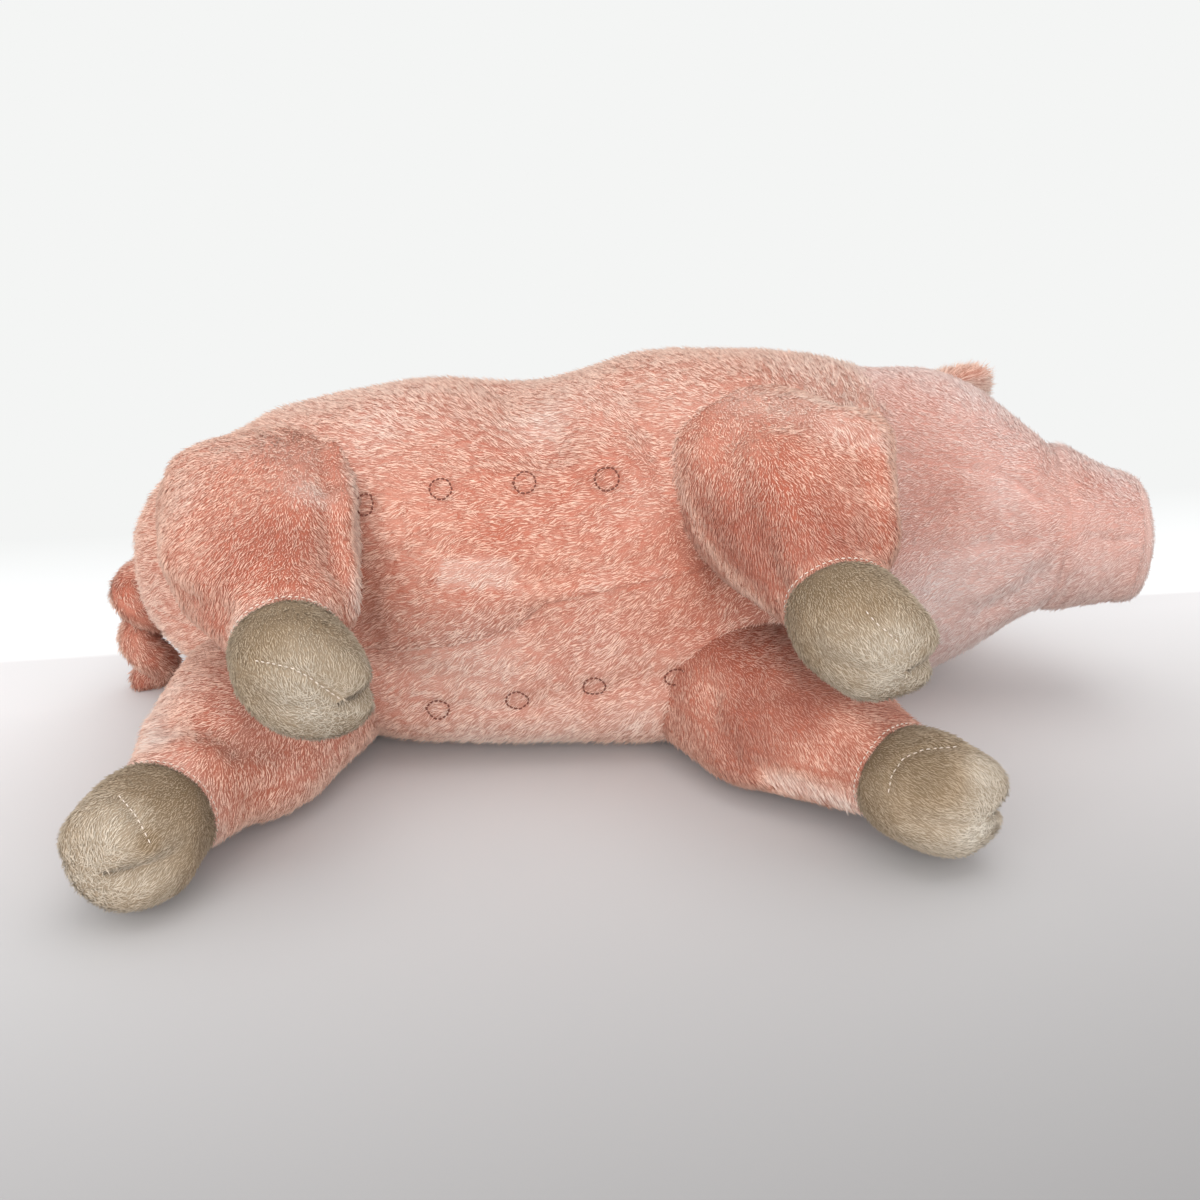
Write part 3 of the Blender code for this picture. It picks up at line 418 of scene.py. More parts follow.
def pile_colours():
    """Pile colour: painted shade between the tufts and in thin gaps, paler towards their tips, with soft patches and
    painted sheen and shade.
    """
    group = bpy.data.node_groups.new("Pile colour", "ShaderNodeTree")
    socket = group.interface.new_socket
    for name in ("Depth", "Body", "Tip", "Brushed sheen", "Shaded"):
        socket(name, in_out="INPUT", socket_type="NodeSocketColor")
    for name in ("Patch size", "Crinkle"):
        socket(name, in_out="INPUT", socket_type="NodeSocketFloat")
    socket("Colour", in_out="OUTPUT", socket_type="NodeSocketColor")
    socket("Roughness", in_out="OUTPUT", socket_type="NodeSocketFloat")
    given = add(group, "NodeGroupInput").outputs

    def named(name):
        return add(group, "ShaderNodeAttribute", attribute_name=name).outputs["Fac"]

    def ranged(value, low, high, start, end):
        return add(group, "ShaderNodeMapRange", {
            "Value": value, "From Min": low, "From Max": high, "To Min": start, "To Max": end}).outputs[0]

    def mixed(share, a, b, blend="MIX"):
        made = add(group, "ShaderNodeMix", {0: share, 6: a, 7: b}, data_type="RGBA", blend_type=blend)
        return made.outputs[2]

    def math_of(operation, a, b=0.0):
        return add(group, "ShaderNodeMath", {0: a, 1: b}, operation=operation).outputs[0]

    along, lot = named("along"), named("lot")
    place = add(group, "ShaderNodeTexCoord").outputs["Object"]
    patches = add(group, "ShaderNodeTexNoise", {
        "Vector": place, "Scale": math_of("DIVIDE", 1.0, given["Patch size"]), "Detail": 3.0}).outputs["Fac"]
    # painted shade: thin dark curving lines, as gaps between clumps of tufts
    gaps = add(group, "ShaderNodeTexNoise", {
        "Vector": place, "Scale": 330.0, "Detail": 2.0, "Distortion": 0.8}).outputs["Fac"]
    gaps = ranged(math_of("ABSOLUTE", math_of("SUBTRACT", gaps, 0.5), 0.0), 0.004, 0.040, 1.0, 0.0)
    breaks = add(group, "ShaderNodeTexNoise", {"Vector": place, "Scale": 240.0, "Detail": 1.0}).outputs["Fac"]
    gaps = math_of("MULTIPLY", gaps, ranged(breaks, 0.42, 0.56, 0.0, 1.0))
    gaps = math_of("MULTIPLY", gaps, given["Crinkle"])
    # painted shade: dark at the roots, down between the tufts
    colour = mixed(ranged(along, 0.0, 0.45, 0.0, 1.0), given["Depth"], given["Body"])
    tips = math_of("MULTIPLY", ranged(along, 0.35, 1.0, 0.0, 1.0), ranged(lot, 0.0, 1.0, 0.35, 1.0))
    colour = mixed(tips, colour, given["Tip"])
    colour = mixed(ranged(lot, 0.0, 0.20, 0.85, 0.0), colour, given["Depth"])
    warm = mixed(ranged(patches, 0.35, 0.65, 0.0, 0.22), colour, given["Body"])
    # painted sheen where the pile is brushed up, and painted shade multiplied in where the field is below zero
    brushed_sheen_and_shade = math_of("MULTIPLY", named("brushed_sheen_and_shade"), ranged(along, 0.1, 0.7, 0.3, 1.0))
    colour = mixed(math_of("MULTIPLY", brushed_sheen_and_shade, ranged(patches, 0.3, 0.6, 1.0, 0.75)), warm, given["Brushed sheen"])
    colour = mixed(ranged(named("brushed_sheen_and_shade"), 0.0, -1.0, 0.0, 1.0), colour, given["Shaded"], "MULTIPLY")
    # painted shade along the seams and in the hollows between clumps, where the tufts are short
    colour = mixed(math_of("MULTIPLY", named("seam"), 0.80), colour, given["Depth"])
    closed = ranged(named("brushed_sheen_and_shade"), 0.1, 0.9, 1.0, 0.3)  # brushed-up pile closes its gaps
    colour = mixed(math_of("MULTIPLY", gaps, closed), colour, given["Depth"])
    rough = ranged(lot, 0.0, 1.0, 0.82, 0.96)
    add(group, "NodeGroupOutput", {"Colour": colour, "Roughness": rough})
    return group


PILE_COLOUR = pile_colours()


def blank_finish(name):
    """A new material, with its nodes and its shader."""
    made = bpy.data.materials.new(name)
    made.use_nodes = True
    return made, made.node_tree, made.node_tree.nodes["Principled BSDF"]


def plush_finish(name, colours, crinkle, patch_size=0.045):
    """Plush in five colours: painted shade between the tufts, along them, at their tips, painted sheen where brushed
    up, and painted shade.
    """
    made, nodes, shader = blank_finish(name)
    group = add(nodes, "ShaderNodeGroup", node_tree=PILE_COLOUR)
    for key, colour in zip(("Depth", "Body", "Tip", "Brushed sheen", "Shaded"), colours):
        group.inputs[key].default_value = (*colour, 1)
    group.inputs["Patch size"].default_value = patch_size
    group.inputs["Crinkle"].default_value = crinkle
    nodes.links.new(group.outputs["Colour"], shader.inputs["Base Color"])
    nodes.links.new(group.outputs["Roughness"], shader.inputs["Roughness"])
    shader.inputs["Specular IOR Level"].default_value = 0.2
    shader.inputs["Sheen Weight"].default_value = 0.25
    shader.inputs["Sheen Roughness"].default_value = 0.5
    shader.inputs["Sheen Tint"].default_value = (*colours[2], 1)
    return made


def seams_object(name, lines):
    """The lines that a piece's pile is short along."""
    mesh = bpy.data.meshes.new(name)
    points, edges = [], []
    for line in lines:
        edges += [(len(points) + i, len(points) + i + 1) for i in range(len(line) - 1)]
        points += [tuple(p) for p in line]
    mesh.from_pydata(points, edges, [])
    return bpy.data.objects.new(name, mesh)


def fitted(piece, body, node):
    """A stuffed piece on the body that it rides, for the CAD node that it stands for."""
    if body:
        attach(piece, body)
    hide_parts(node)


def set_field(mesh, name, kind, values):
    """Values kept on a mesh's points under a name."""
    layer = mesh.attributes.new(name, kind, "POINT")
    key = "vector" if kind == "FLOAT_VECTOR" else "value"
    layer.data.foreach_set(key, np.array(values, np.float32).ravel())


def grown(obj, group, given):
    """The mesh that a node tree makes of an object with these inputs."""
    run = obj.modifiers.new(group.name, "NODES")
    run.node_group = group
    for item in group.interface.items_tree:
        if item.in_out == "INPUT" and item.name in given:
            run[item.identifier] = given[item.name]
    bpy.context.view_layer.update()
    made = bpy.data.meshes.new_from_object(obj.evaluated_get(bpy.context.evaluated_depsgraph_get()))
    obj.modifiers.clear()
    return made


def numbers_of(layer, key, count, wide):
    """A mesh layer's numbers, as rows of this width."""
    numbers = np.empty(count * wide, np.float32)
    layer.foreach_get(key, numbers)
    return numbers.reshape(-1, wide)


def dressed(name, mesh, finish, seams, nap, spacing=0.00066, length=0.0041, width=0.00046, lean=31,
            swirl=2.8, swirl_size=0.0085, clumps=0.60, seam_breadth=0.0035,
            brushed_sheen_and_shade=None, cover=None, lengths=None):
    """A finished piece: the skin, its backing's thickness and its pile in one mesh."""
    scene = bpy.context.scene
    count = len(mesh.vertices)
    for key, values in (("cover", cover), ("brushed_sheen_and_shade", brushed_sheen_and_shade), ("length", lengths)):
        default = 0.0 if key == "brushed_sheen_and_shade" else 1.0
        set_field(mesh, key, "FLOAT", np.full(count, default) if values is None else values)
    set_field(mesh, "nap", "FLOAT_VECTOR", np.broadcast_to(np.array(nap, float), (count, 3)))
    skin = bpy.data.objects.new(name, mesh)
    pile = bpy.data.objects.new(name + "_pile", mesh.copy())
    lines = seams_object(name + "_seams", seams)
    for obj in (skin, pile, lines):
        scene.collection.objects.link(obj)
    tufts = grown(pile, PILE, {
        "Spacing": spacing, "Length": length, "Width": width, "Lean": math.radians(lean),
        "Swirl": swirl, "Swirl size": swirl_size, "Seam breadth": seam_breadth, "Clumps": clumps,
        "Seams": lines, "Tuft": TUFT, "Finish": finish})
    wall = skin.modifiers.new("Backing", "SOLIDIFY")
    wall.thickness, wall.offset = BACKING, -1
    bpy.context.view_layer.update()
    backed = bpy.data.meshes.new_from_object(skin.evaluated_get(bpy.context.evaluated_depsgraph_get()))
    skin.modifiers.clear()
    for obj in (pile, lines):
        bpy.data.objects.remove(obj)
    skin.data = backed
    backed.materials.clear()
    backed.materials.append(finish)
    first = len(backed.vertices)
    backed_normals = numbers_of(backed.vertices, "normal", first, 3)
    carrier = bpy.data.objects.new(name + "_tufts", tufts)
    scene.collection.objects.link(carrier)
    with bpy.context.temp_override(active_object=skin, object=skin, selected_editable_objects=[skin, carrier],
                                   selected_objects=[skin, carrier]):
        bpy.ops.object.join()
    whole = skin.data
    count = len(whole.vertices)
    points = numbers_of(whole.vertices, "co", count, 3)
    points[:, 2] = np.maximum(points[:, 2], LOWEST)
    whole.vertices.foreach_set("co", points.ravel())
    lie = numbers_of(whole.attributes["lie"].data, "vector", count, 3)[first::4]
    four = points[first:].reshape(-1, 4, 3)
    side = four[:, 1] - four[:, 0]
    side /= np.linalg.norm(side, axis=1, keepdims=True) + 1e-12
    ahead = four[:, 3] - four[:, 0]
    ahead /= np.linalg.norm(ahead, axis=1, keepdims=True) + 1e-12
    normals = np.stack([lie - side * 0.5, lie + side * 0.5, lie, lie + ahead * 0.4], 1).reshape(-1, 3)
    normals = np.concatenate([backed_normals, normals])
    normals /= np.linalg.norm(normals, axis=1, keepdims=True) + 1e-12
    spots = numbers_of(whole.attributes["spot"].data, "vector", count, 3)[first::4, :2]
    own = np.array([(-0.5, 0), (0.5, 0), (0, 0.5), (0, 1)], np.float32) * 0.0025
    spots = (spots[:, None] + own[None]).reshape(-1, 2)
    corners = np.empty(len(whole.loops), np.int32)
    whole.loops.foreach_get("vertex_index", corners)
    layer = whole.uv_layers[MAP].data
    places = numbers_of(layer, "uv", len(corners), 2)
    tuft_corners = corners >= first
    places[tuft_corners] = spots[corners[tuft_corners] - first]
    layer.foreach_set("uv", places.ravel())
    whole.shade_smooth()
    whole.normals_split_custom_set_from_vertices(normals)
    for key in ("nap", "lie", "spot", "cover", "length"):
        if key in whole.attributes:
            whole.attributes.remove(whole.attributes[key])
    return skin


pink_plush = plush_finish("Pink plush", PINK, 0.95)

body_rows = through(BODY_ROWS, TRUNK_RINGS)
body_rows[:, :3] += np.array(ZERO)
body_rows[:, 3:] = np.maximum(body_rows[:, 3:] - PILE_ROOM, 0.0008)
body_rows[:, 2] += 0.0008
seam_rise = np.interp(body_rows[:, 0] - ZERO.x, *zip(*BELLY_SEAM_RISE))
seam_turn = math.pi - np.arcsin(np.clip(seam_rise / body_rows[:, 4], -0.3, 0.3))
upper_turns = seam_turn[:, None] * np.linspace(0, 1, TRUNK_COLUMNS)
lower_turns = seam_turn[:, None] + (2 * math.pi - seam_turn)[:, None] * np.linspace(0, 1, TRUNK_COLUMNS)
halves = {}
for half, turns in (("right", upper_turns), ("left", lower_turns)):
    halves[half] = wrapped(body_rows, (0, 1, 0), (0, 0, 1), turns, FLANK_POWER, BED_POWER)
both = [skin_of("rough_" + half, grid, False) for half, grid in halves.items()]
rough = tree_of(both)
fold_lines = [([p for p, _ in seen_on(rough, pixels)], breadth, depth)
              for pixels, breadth, depth in TRUNK_FOLDS]
for half, grid in halves.items():
    normals = outward(grid, False)
    for leg, (toward, rise, spread) in SWELLS.items():
        off = grid - np.array(joint_at[f"leg_{leg}_swing"])
        far = np.linalg.norm(off, axis=2)
        side = np.clip((off @ np.array(Vector(toward).normalized())) / (far + 1e-9) * 1.5 - 0.1, 0, 1)
        grid = grid + normals * (rise * side * np.exp(-np.maximum(far - 0.036, 0) / spread))[..., None]
    grid = lumpy(grid, normals, 0.045, 0.0022, 1)
    grid = lumpy(grid, normals, 0.014, 0.0007, 2)
    for line, breadth, depth in fold_lines:
        if len(line) > 1:
            grid = folded(grid, normals, line, breadth, depth)
    for column, tuck in ((0, 0.0005), (1, 0.0001), (-2, 0.0001), (-1, 0.0005)):
        grid[:, column] -= normals[:, column] * tuck
    grid[..., 2] = np.maximum(grid[..., 2], 0.0022)
    halves[half] = grid
trunk_tree = tree_of([skin_of("trial_" + half, grid, False) for half, grid in halves.items()])

# Teat rings
# Eight rings of dark rust thread, sewn through the belly plush in short running stitches.

UPPER_TEATS = ((368, 507), (441, 492), (525, 486), (607, 479))
LOWER_TEATS = ((439, 705), (517, 696), (594, 682), (674, 673))
TEAT_RADIUS = 0.0044
teat_rings = []
for pixel in UPPER_TEATS + LOWER_TEATS:
    (middle, out), = seen_on(trunk_tree, [pixel])
    side = out.cross(Vector((0, 0, 1))).normalized()
    other = side.cross(out)
    ring = []
    for k in range(25):
        turn = 2 * math.pi * k / 24
        reach = TEAT_RADIUS * (1 + 0.08 * noise.noise(Vector((turn, pixel[0], 0))))
        spot = middle + (side * math.cos(turn) + other * math.sin(turn)) * reach
        spot, normal, _, _ = trunk_tree.find_nearest(spot)
        ring.append((spot, normal if normal.dot(out) > 0 else -normal))
    teat_rings.append(ring)

UNDER_HAUNCH, UNDER_HEAD = 0.026, 0.128  # no pile within this of a hip, nor past this under the head
WORN_BELOW = 0.004  # the pile that it lies on is thin
TRUNK_NAP = (-1.0, 0.0, -0.35)
hips = [joint_at[f"leg_{leg}_swing"] for leg in ("right_hind", "left_hind", "right_front", "left_front")]
for half, grid in halves.items():
    bare = np.minimum.reduce([np.linalg.norm(grid - np.array(hip), axis=2) for hip in hips]) < UNDER_HAUNCH
    forward, height = grid[..., 0] - ZERO.x, grid[..., 2]
    bare |= forward > UNDER_HEAD + 0.008 * risen(height, 0.050, 0.030)
    # painted light: paler over the top and low down on the belly, and paler towards the neck
    paler = 0.34 * risen(height, 0.095, 0.145) + 0.42 * risen(height, 0.082, 0.052)
    paler += 0.45 * risen(forward, 0.070, 0.110)
    # painted sheen of brushed pile, with wandering patches of painted sheen and shade
    trunk_sheen_and_shade = spotted(grid, trunk_tree, TRUNK_SHEEN_AND_LIGHT) + patchy(grid, 0.050, -0.12, 0.20, 3)
    trunk_sheen_and_shade += paler.reshape(-1)
    thinner = np.where(height < WORN_BELOW, 0.4, 1.0)
    piece = dressed(
        "trunk_plush_" + half, skin_of("trunk_plush_" + half, grid, False), pink_plush,
        [grid[:, 0], grid[:, -1]], TRUNK_NAP, seam_breadth=0.0012, brushed_sheen_and_shade=trunk_sheen_and_shade,
        cover=np.where(bare, 0.0, thinner).reshape(-1))
    fitted(piece, "trunk", f"trunk_{half}_panel")


def stitch_tree():
    """Stitch run: short stitches laid end to end along a line, flat on the cloth."""
    tree = bpy.data.node_groups.new("Stitch run", "GeometryNodeTree")
    tree.is_modifier = True
    socket = tree.interface.new_socket
    socket("Geometry", in_out="INPUT", socket_type="NodeSocketGeometry")
    for name in ("Pitch", "Stitch length", "Thread thickness"):
        socket(name, in_out="INPUT", socket_type="NodeSocketFloat")
    socket("Stitch", in_out="INPUT", socket_type="NodeSocketObject")
    socket("Finish", in_out="INPUT", socket_type="NodeSocketMaterial")
    socket("Geometry", in_out="OUTPUT", socket_type="NodeSocketGeometry")
    given = add(tree, "NodeGroupInput").outputs
    line = add(tree, "GeometryNodeMeshToCurve", {"Mesh": given["Geometry"]}).outputs[0]
    spaced = add(tree, "GeometryNodeResampleCurve", {
        "Curve": line, "Length": given["Pitch"]}, mode="LENGTH").outputs[0]
    along = add(tree, "GeometryNodeInputTangent").outputs[0]
    lie = add(tree, "GeometryNodeInputNamedAttribute", {
        "Name": "lie"}, data_type="FLOAT_VECTOR").outputs["Attribute"]
    stray = add(tree, "FunctionNodeRandomValue", {0: (-0.12, -0.12, -0.12), 1: (0.12, 0.12, 0.12), "Seed": 4},
                data_type="FLOAT_VECTOR").outputs[0]
    aim = add(tree, "ShaderNodeVectorMath", {0: along, 1: stray}, operation="ADD").outputs[0]
    turn = add(tree, "FunctionNodeAxesToRotation", {
        "Primary Axis": aim, "Secondary Axis": lie}, primary_axis="Z", secondary_axis="Y").outputs[0]
    size = add(tree, "ShaderNodeCombineXYZ", {
        "X": given["Thread thickness"], "Y": given["Thread thickness"], "Z": given["Stitch length"]}).outputs[0]
    stitch = add(tree, "GeometryNodeObjectInfo", {"Object": given["Stitch"]}).outputs["Geometry"]
    laid = add(tree, "GeometryNodeInstanceOnPoints", {
        "Points": spaced, "Instance": stitch, "Rotation": turn, "Scale": size}).outputs[0]
    whole = add(tree, "GeometryNodeRealizeInstances", {"Geometry": laid}).outputs[0]
    done = add(tree, "GeometryNodeSetMaterial", {"Geometry": whole, "Material": given["Finish"]}).outputs[0]
    add(tree, "NodeGroupOutput", {"Geometry": done})
    return tree


def stitch_object():
    """One stitch of thread: a short bowed bead of seven rings."""
    turns = np.arange(6) * math.pi / 3
    rings = [(-0.5, 0.25), (-0.42, 0.7), (-0.2, 1.0), (0.0, 1.0), (0.2, 1.0), (0.42, 0.7), (0.5, 0.25)]
    bow = 0.9  # how far its middle stands up between its ends
    grid = np.array([[(np.cos(t) * r / 2, np.sin(t) * r / 2 + bow * (0.25 - z * z), z) for t in turns]
                     for z, r in rings])
    mesh = skin_of("Stitch", grid, True, (0, 0, -0.54), (0, 0, 0.54))
    return bpy.data.objects.new("Stitch", mesh)


STITCH_RUN, STITCH = stitch_tree(), stitch_object()


def thread_finish(name, colour, dark):
    """Twisted polyester thread, darker in its twist."""
    made, nodes, shader = blank_finish(name)
    place = add(nodes, "ShaderNodeTexCoord").outputs["Object"]
    twist = add(nodes, "ShaderNodeTexWave", {"Vector": place, "Scale": 900.0, "Distortion": 2.0}).outputs["Fac"]
    tone = add(nodes, "ShaderNodeMix", {0: twist, 6: (*dark, 1), 7: (*colour, 1)}, data_type="RGBA").outputs[2]
    nodes.links.new(tone, shader.inputs["Base Color"])
    shader.inputs["Roughness"].default_value = 0.55
    return made


def sewn(name, lines, finish, pitch=0.0017, stitch=0.0013, thick=0.00045, lift=0.0012):
    """Thread along lines of (point, normal), as one piece."""
    points, lies, edges = [], [], []
    for line in lines:
        edges += [(len(points) + i, len(points) + i + 1) for i in range(len(line) - 1)]
        points += [tuple(p + n * lift) for p, n in line]
        lies += [tuple(n) for _, n in line]
    mesh = bpy.data.meshes.new(name)
    mesh.from_pydata(points, edges, [])
    set_field(mesh, "lie", "FLOAT_VECTOR", lies)
    obj = bpy.data.objects.new(name, mesh)
    bpy.context.scene.collection.objects.link(obj)
    obj.data = made = grown(obj, STITCH_RUN, {
        "Pitch": pitch, "Stitch length": stitch, "Thread thickness": thick, "Stitch": STITCH, "Finish": finish})
    made.shade_smooth()
    return obj


rust_thread = thread_finish("Rust thread", (0.23, 0.06, 0.03), (0.10, 0.025, 0.015))
teats = sewn("teat_stitches", teat_rings, rust_thread, pitch=0.0019, stitch=0.0015, thick=0.00080, lift=0.0030)
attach(teats, "trunk")

# Fillings
# Loose white polyester fibre, blown into each cover through a gap that is then sewn shut.

FILLING_ROOM = 0.0085  # from the face of the plush to the fibre


def filling_finish():
    """White fibre, tangled and matt."""
    made, nodes, shader = blank_finish("Polyester fibre")
    place = add(nodes, "ShaderNodeTexCoord").outputs["Object"]
    tangle = add(nodes, "ShaderNodeTexNoise", {
        "Vector": place, "Scale": 320.0, "Detail": 6.0, "Distortion": 2.5}).outputs["Fac"]
    tone = add(nodes, "ShaderNodeMix", {
        0: tangle, 6: (0.72, 0.72, 0.70, 1), 7: (0.93, 0.93, 0.91, 1)}, data_type="RGBA").outputs[2]
    nodes.links.new(tone, shader.inputs["Base Color"])
    bump = add(nodes, "ShaderNodeBump", {"Height": tangle, "Strength": 0.8, "Distance": 0.002}).outputs[0]
    nodes.links.new(bump, shader.inputs["Normal"])
    shader.inputs["Roughness"].default_value = 0.9
    return made


fibre = filling_finish()


def filled(name, grid, start, end, body, node):
    """A filling inside a cover's grid."""
    grid = lumpy(grid, outward(grid, True), 0.012, 0.0008, 5)
    mesh = skin_of(name, grid, True, start, end)
    mesh.materials.append(fibre)
    piece = bpy.data.objects.new(name, mesh)
    bpy.context.scene.collection.objects.link(piece)
    fitted(piece, body, node)
    return piece


def drawn_in(rows, room):
    """The same rows, smaller all round."""
    rows = rows.copy()
    rows[:, 3:] = np.maximum(rows[:, 3:] - room, 0.0006)
    return rows


inner_rows = through(BODY_ROWS, 60)
inner_rows[:, :3] += np.array(ZERO)
turns = np.linspace(0, 2 * math.pi, 48, endpoint=False)
trunk_inner = wrapped(drawn_in(inner_rows, FILLING_ROOM), (0, 1, 0), (0, 0, 1), turns, FLANK_POWER, BED_POWER)
trunk_inner = trunk_inner[11:-3]
filled("trunk_fibre", trunk_inner, trunk_inner[0].mean(0), trunk_inner[-1].mean(0), "trunk", "trunk_stuffing")

# Head cover
# One plush bag with a throat gusset, sewn to the neck and, along a deep crease, to the snout.

HEAD_ROWS = (
    (0.1010, 0.0108, 0.0772, 0.0596, 0.0732),
    (0.1110, 0.0134, 0.0768, 0.0594, 0.0750),
    (0.1238, 0.0165, 0.0756, 0.0580, 0.0756),
    (0.1360, 0.0202, 0.0752, 0.0566, 0.0756),
    (0.1488, 0.0232, 0.0760, 0.0552, 0.0734),
    (0.1609, 0.0222, 0.0774, 0.0524, 0.0692),
    (0.1735, 0.0182, 0.0790, 0.0480, 0.0610),
    (0.1862, 0.0132, 0.0798, 0.0434, 0.0506),
    (0.1960, 0.0102, 0.0792, 0.0410, 0.0428),
    (0.2015, 0.0092, 0.0789, 0.0395, 0.0398),
    (0.2040, 0.0090, 0.0790, 0.0385, 0.0385),
)
HEAD_RINGS, HEAD_COLUMNS = 72, 96
SLEEK_PINK = ((0.56, 0.245, 0.190), (0.92, 0.625, 0.535), (0.98, 0.795, 0.720), (0.98, 0.86, 0.815), PINK_SHADE)
HEAD_FOLDS = (
    (((905, 549), (945, 545), (985, 546), (1040, 538)), 0.0022, 0.0016),
    (((890, 455), (925, 459), (955, 463), (990, 468), (1020, 480), (1040, 500)), 0.0028, 0.0016),
    (((1052, 560), (1038, 580), (1015, 597), (990, 612)), 0.0075, 0.0022),
    (((1040, 555), (1015, 575), (985, 590)), 0.0080, -0.0016),
    (((1036, 440), (1030, 480), (1034, 520), (1040, 550)), 0.0060, -0.0012),
    (((1018, 445), (1010, 480), (1014, 520)), 0.0070, 0.0012),
    (((960, 500), (975, 520), (985, 535)), 0.0070, 0.0014),
)
# painted sheen of brushed pile where positive, painted shade at the throat and near the neck where negative: pixel,
# reach, how much
HEAD_SHEEN_AND_SHADE = (
    (985, 402, 0.016, 0.45), (940, 495, 0.018, -0.50), (975, 520, 0.010, -0.20), (1003, 492, 0.008, 0.4),
    (965, 590, 0.024, 0.35), (1035, 560, 0.014, 0.35), (1015, 440, 0.012, 0.2), (920, 420, 0.012, -0.15),
    (990, 545, 0.006, 0.3), (940, 640, 0.014, 0.25), (885, 400, 0.016, -0.30), (925, 590, 0.020, 0.40),
)


def placed(rows, count):
    made = through(rows, count)
    made[:, :3] += np.array(ZERO)
    return made


sleek_plush = plush_finish("Sleek pink plush", SLEEK_PINK, 0.85)
head_rows = placed(HEAD_ROWS, HEAD_RINGS)
head_turns = np.linspace(0, 2 * math.pi, HEAD_COLUMNS, endpoint=False)
head_grid = wrapped(drawn_in(head_rows, PILE_ROOM), (0, 1, 0), (0, 0, 1), head_turns)
head_trial = tree_of(skin_of("rough_head", head_grid, True))
head_normals = outward(head_grid, True)
head_lines = []
for pixels, breadth, depth in HEAD_FOLDS:
    line = [p for p, _ in seen_on(head_trial, pixels)]
    head_lines.append(line)
    head_grid = folded(head_grid, head_normals, line, breadth, depth)
head_grid = lumpy(head_grid, head_normals, 0.035, 0.0018, 6)
head_grid = lumpy(head_grid, head_normals, 0.012, 0.0005, 7)
head_grid[..., 2] = np.maximum(head_grid[..., 2], 0.0022)
head_tree = tree_of(skin_of("trial_head", head_grid, True))
head_seams = [np.vstack([head_grid[-1], head_grid[-1, :1]])] + head_lines[:2]
# painted sheen and shade, painted light low on the head and painted shade on its far side
head_sheen_and_shade = spotted(head_grid, head_tree, HEAD_SHEEN_AND_SHADE, 0.26) + patchy(head_grid, 0.030, -0.10, 0.22, 4)
head_sheen_and_shade += 0.45 * risen(head_grid[..., 2], 0.085, 0.055).reshape(-1)
head_sheen_and_shade -= 0.45 * risen(head_grid[..., 1] - ZERO.y, 0.030, 0.050).reshape(-1)
SLEEK = {
    "spacing": 0.00064, "width": 0.00041, "length": 0.0040, "swirl": 1.5, "swirl_size": 0.009, "clumps": 0.32}
head = dressed("head_plush", skin_of("head_plush", head_grid, True), sleek_plush, head_seams,
               (-1.0, 0.0, -0.15), lean=22, seam_breadth=0.0024, brushed_sheen_and_shade=head_sheen_and_shade, **SLEEK)
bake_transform(head)
fitted(head, None, "head_cover")

# Snout cover
# A short tube of the same plush, its pile brushed forward past the nose pad.

SNOUT_ROWS = (
    (0.2028, 0.0092, 0.0790, 0.0376, 0.0380),
    (0.2045, 0.0092, 0.0789, 0.0386, 0.0390),
    (0.2090, 0.0088, 0.0784, 0.0384, 0.0389),
    (0.2160, 0.0083, 0.0776, 0.0362, 0.0368),
    (0.2228, 0.0077, 0.0768, 0.0343, 0.0348),
    (0.2310, 0.0071, 0.0758, 0.0318, 0.0322),
    (0.2370, 0.0066, 0.0751, 0.0304, 0.0308),
    (0.2404, 0.0063, 0.0748, 0.0292, 0.0294),
    (0.2411, 0.0062, 0.0747, 0.0268, 0.0270),
)
SNOUT_FOLDS = (
    (((1085, 538), (1110, 538), (1135, 538), (1152, 539)), 0.0020, 0.0013),
    (((1062, 450), (1064, 500), (1062, 560)), 0.0050, -0.0010),
    (((1075, 575), (1070, 590), (1060, 603)), 0.0030, 0.0015),
)
# painted sheen of brushed pile, and painted shade where negative: pixel, reach, how much
SNOUT_SHEEN_AND_SHADE = ((1100, 575, 0.014, 0.4), (1082, 478, 0.010, -0.45), (1125, 500, 0.010, 0.2))
snout_grid = wrapped(drawn_in(placed(SNOUT_ROWS, 40), 0.0020), (0, 1, 0), (0, 0, 1), head_turns)
snout_trial = tree_of(skin_of("rough_snout", snout_grid, True))
snout_normals = outward(snout_grid, True)
snout_lines = []
for pixels, breadth, depth in SNOUT_FOLDS:
    line = [p for p, _ in seen_on(snout_trial, pixels)]
    snout_lines.append(line)
    snout_grid = folded(snout_grid, snout_normals, line, breadth, depth)
snout_grid = lumpy(snout_grid, snout_normals, 0.018, 0.0009, 8)
snout_tree = tree_of(skin_of("trial_snout", snout_grid, True))
snout_seams = [np.vstack([snout_grid[0], snout_grid[0, :1]]), snout_lines[0]]
snout_sheen_and_shade = spotted(snout_grid, snout_tree, SNOUT_SHEEN_AND_SHADE, 0.30) + patchy(snout_grid, 0.02, -0.10, 0.20, 5)
snout = dressed("snout_plush", skin_of("snout_plush", snout_grid, True), sleek_plush, snout_seams,
                (-1.0, 0.0, -0.25), lean=24, seam_breadth=0.0016, brushed_sheen_and_shade=snout_sheen_and_shade, **SLEEK)
fitted(snout, "head", "snout_cover")

head_inner = np.concatenate([placed(HEAD_ROWS, 40)[14:-1], placed(SNOUT_ROWS, 24)[2:-2]])
head_inner = wrapped(drawn_in(head_inner, FILLING_ROOM), (0, 1, 0), (0, 0, 1), turns)
filled("head_fibre", head_inner, head_inner[0].mean(0), head_inner[-1].mean(0), "head", "head_stuffing")

# Nose pad
# A crowned disc of short pale plush, sewn into the snout's end, with two pressed nostrils.

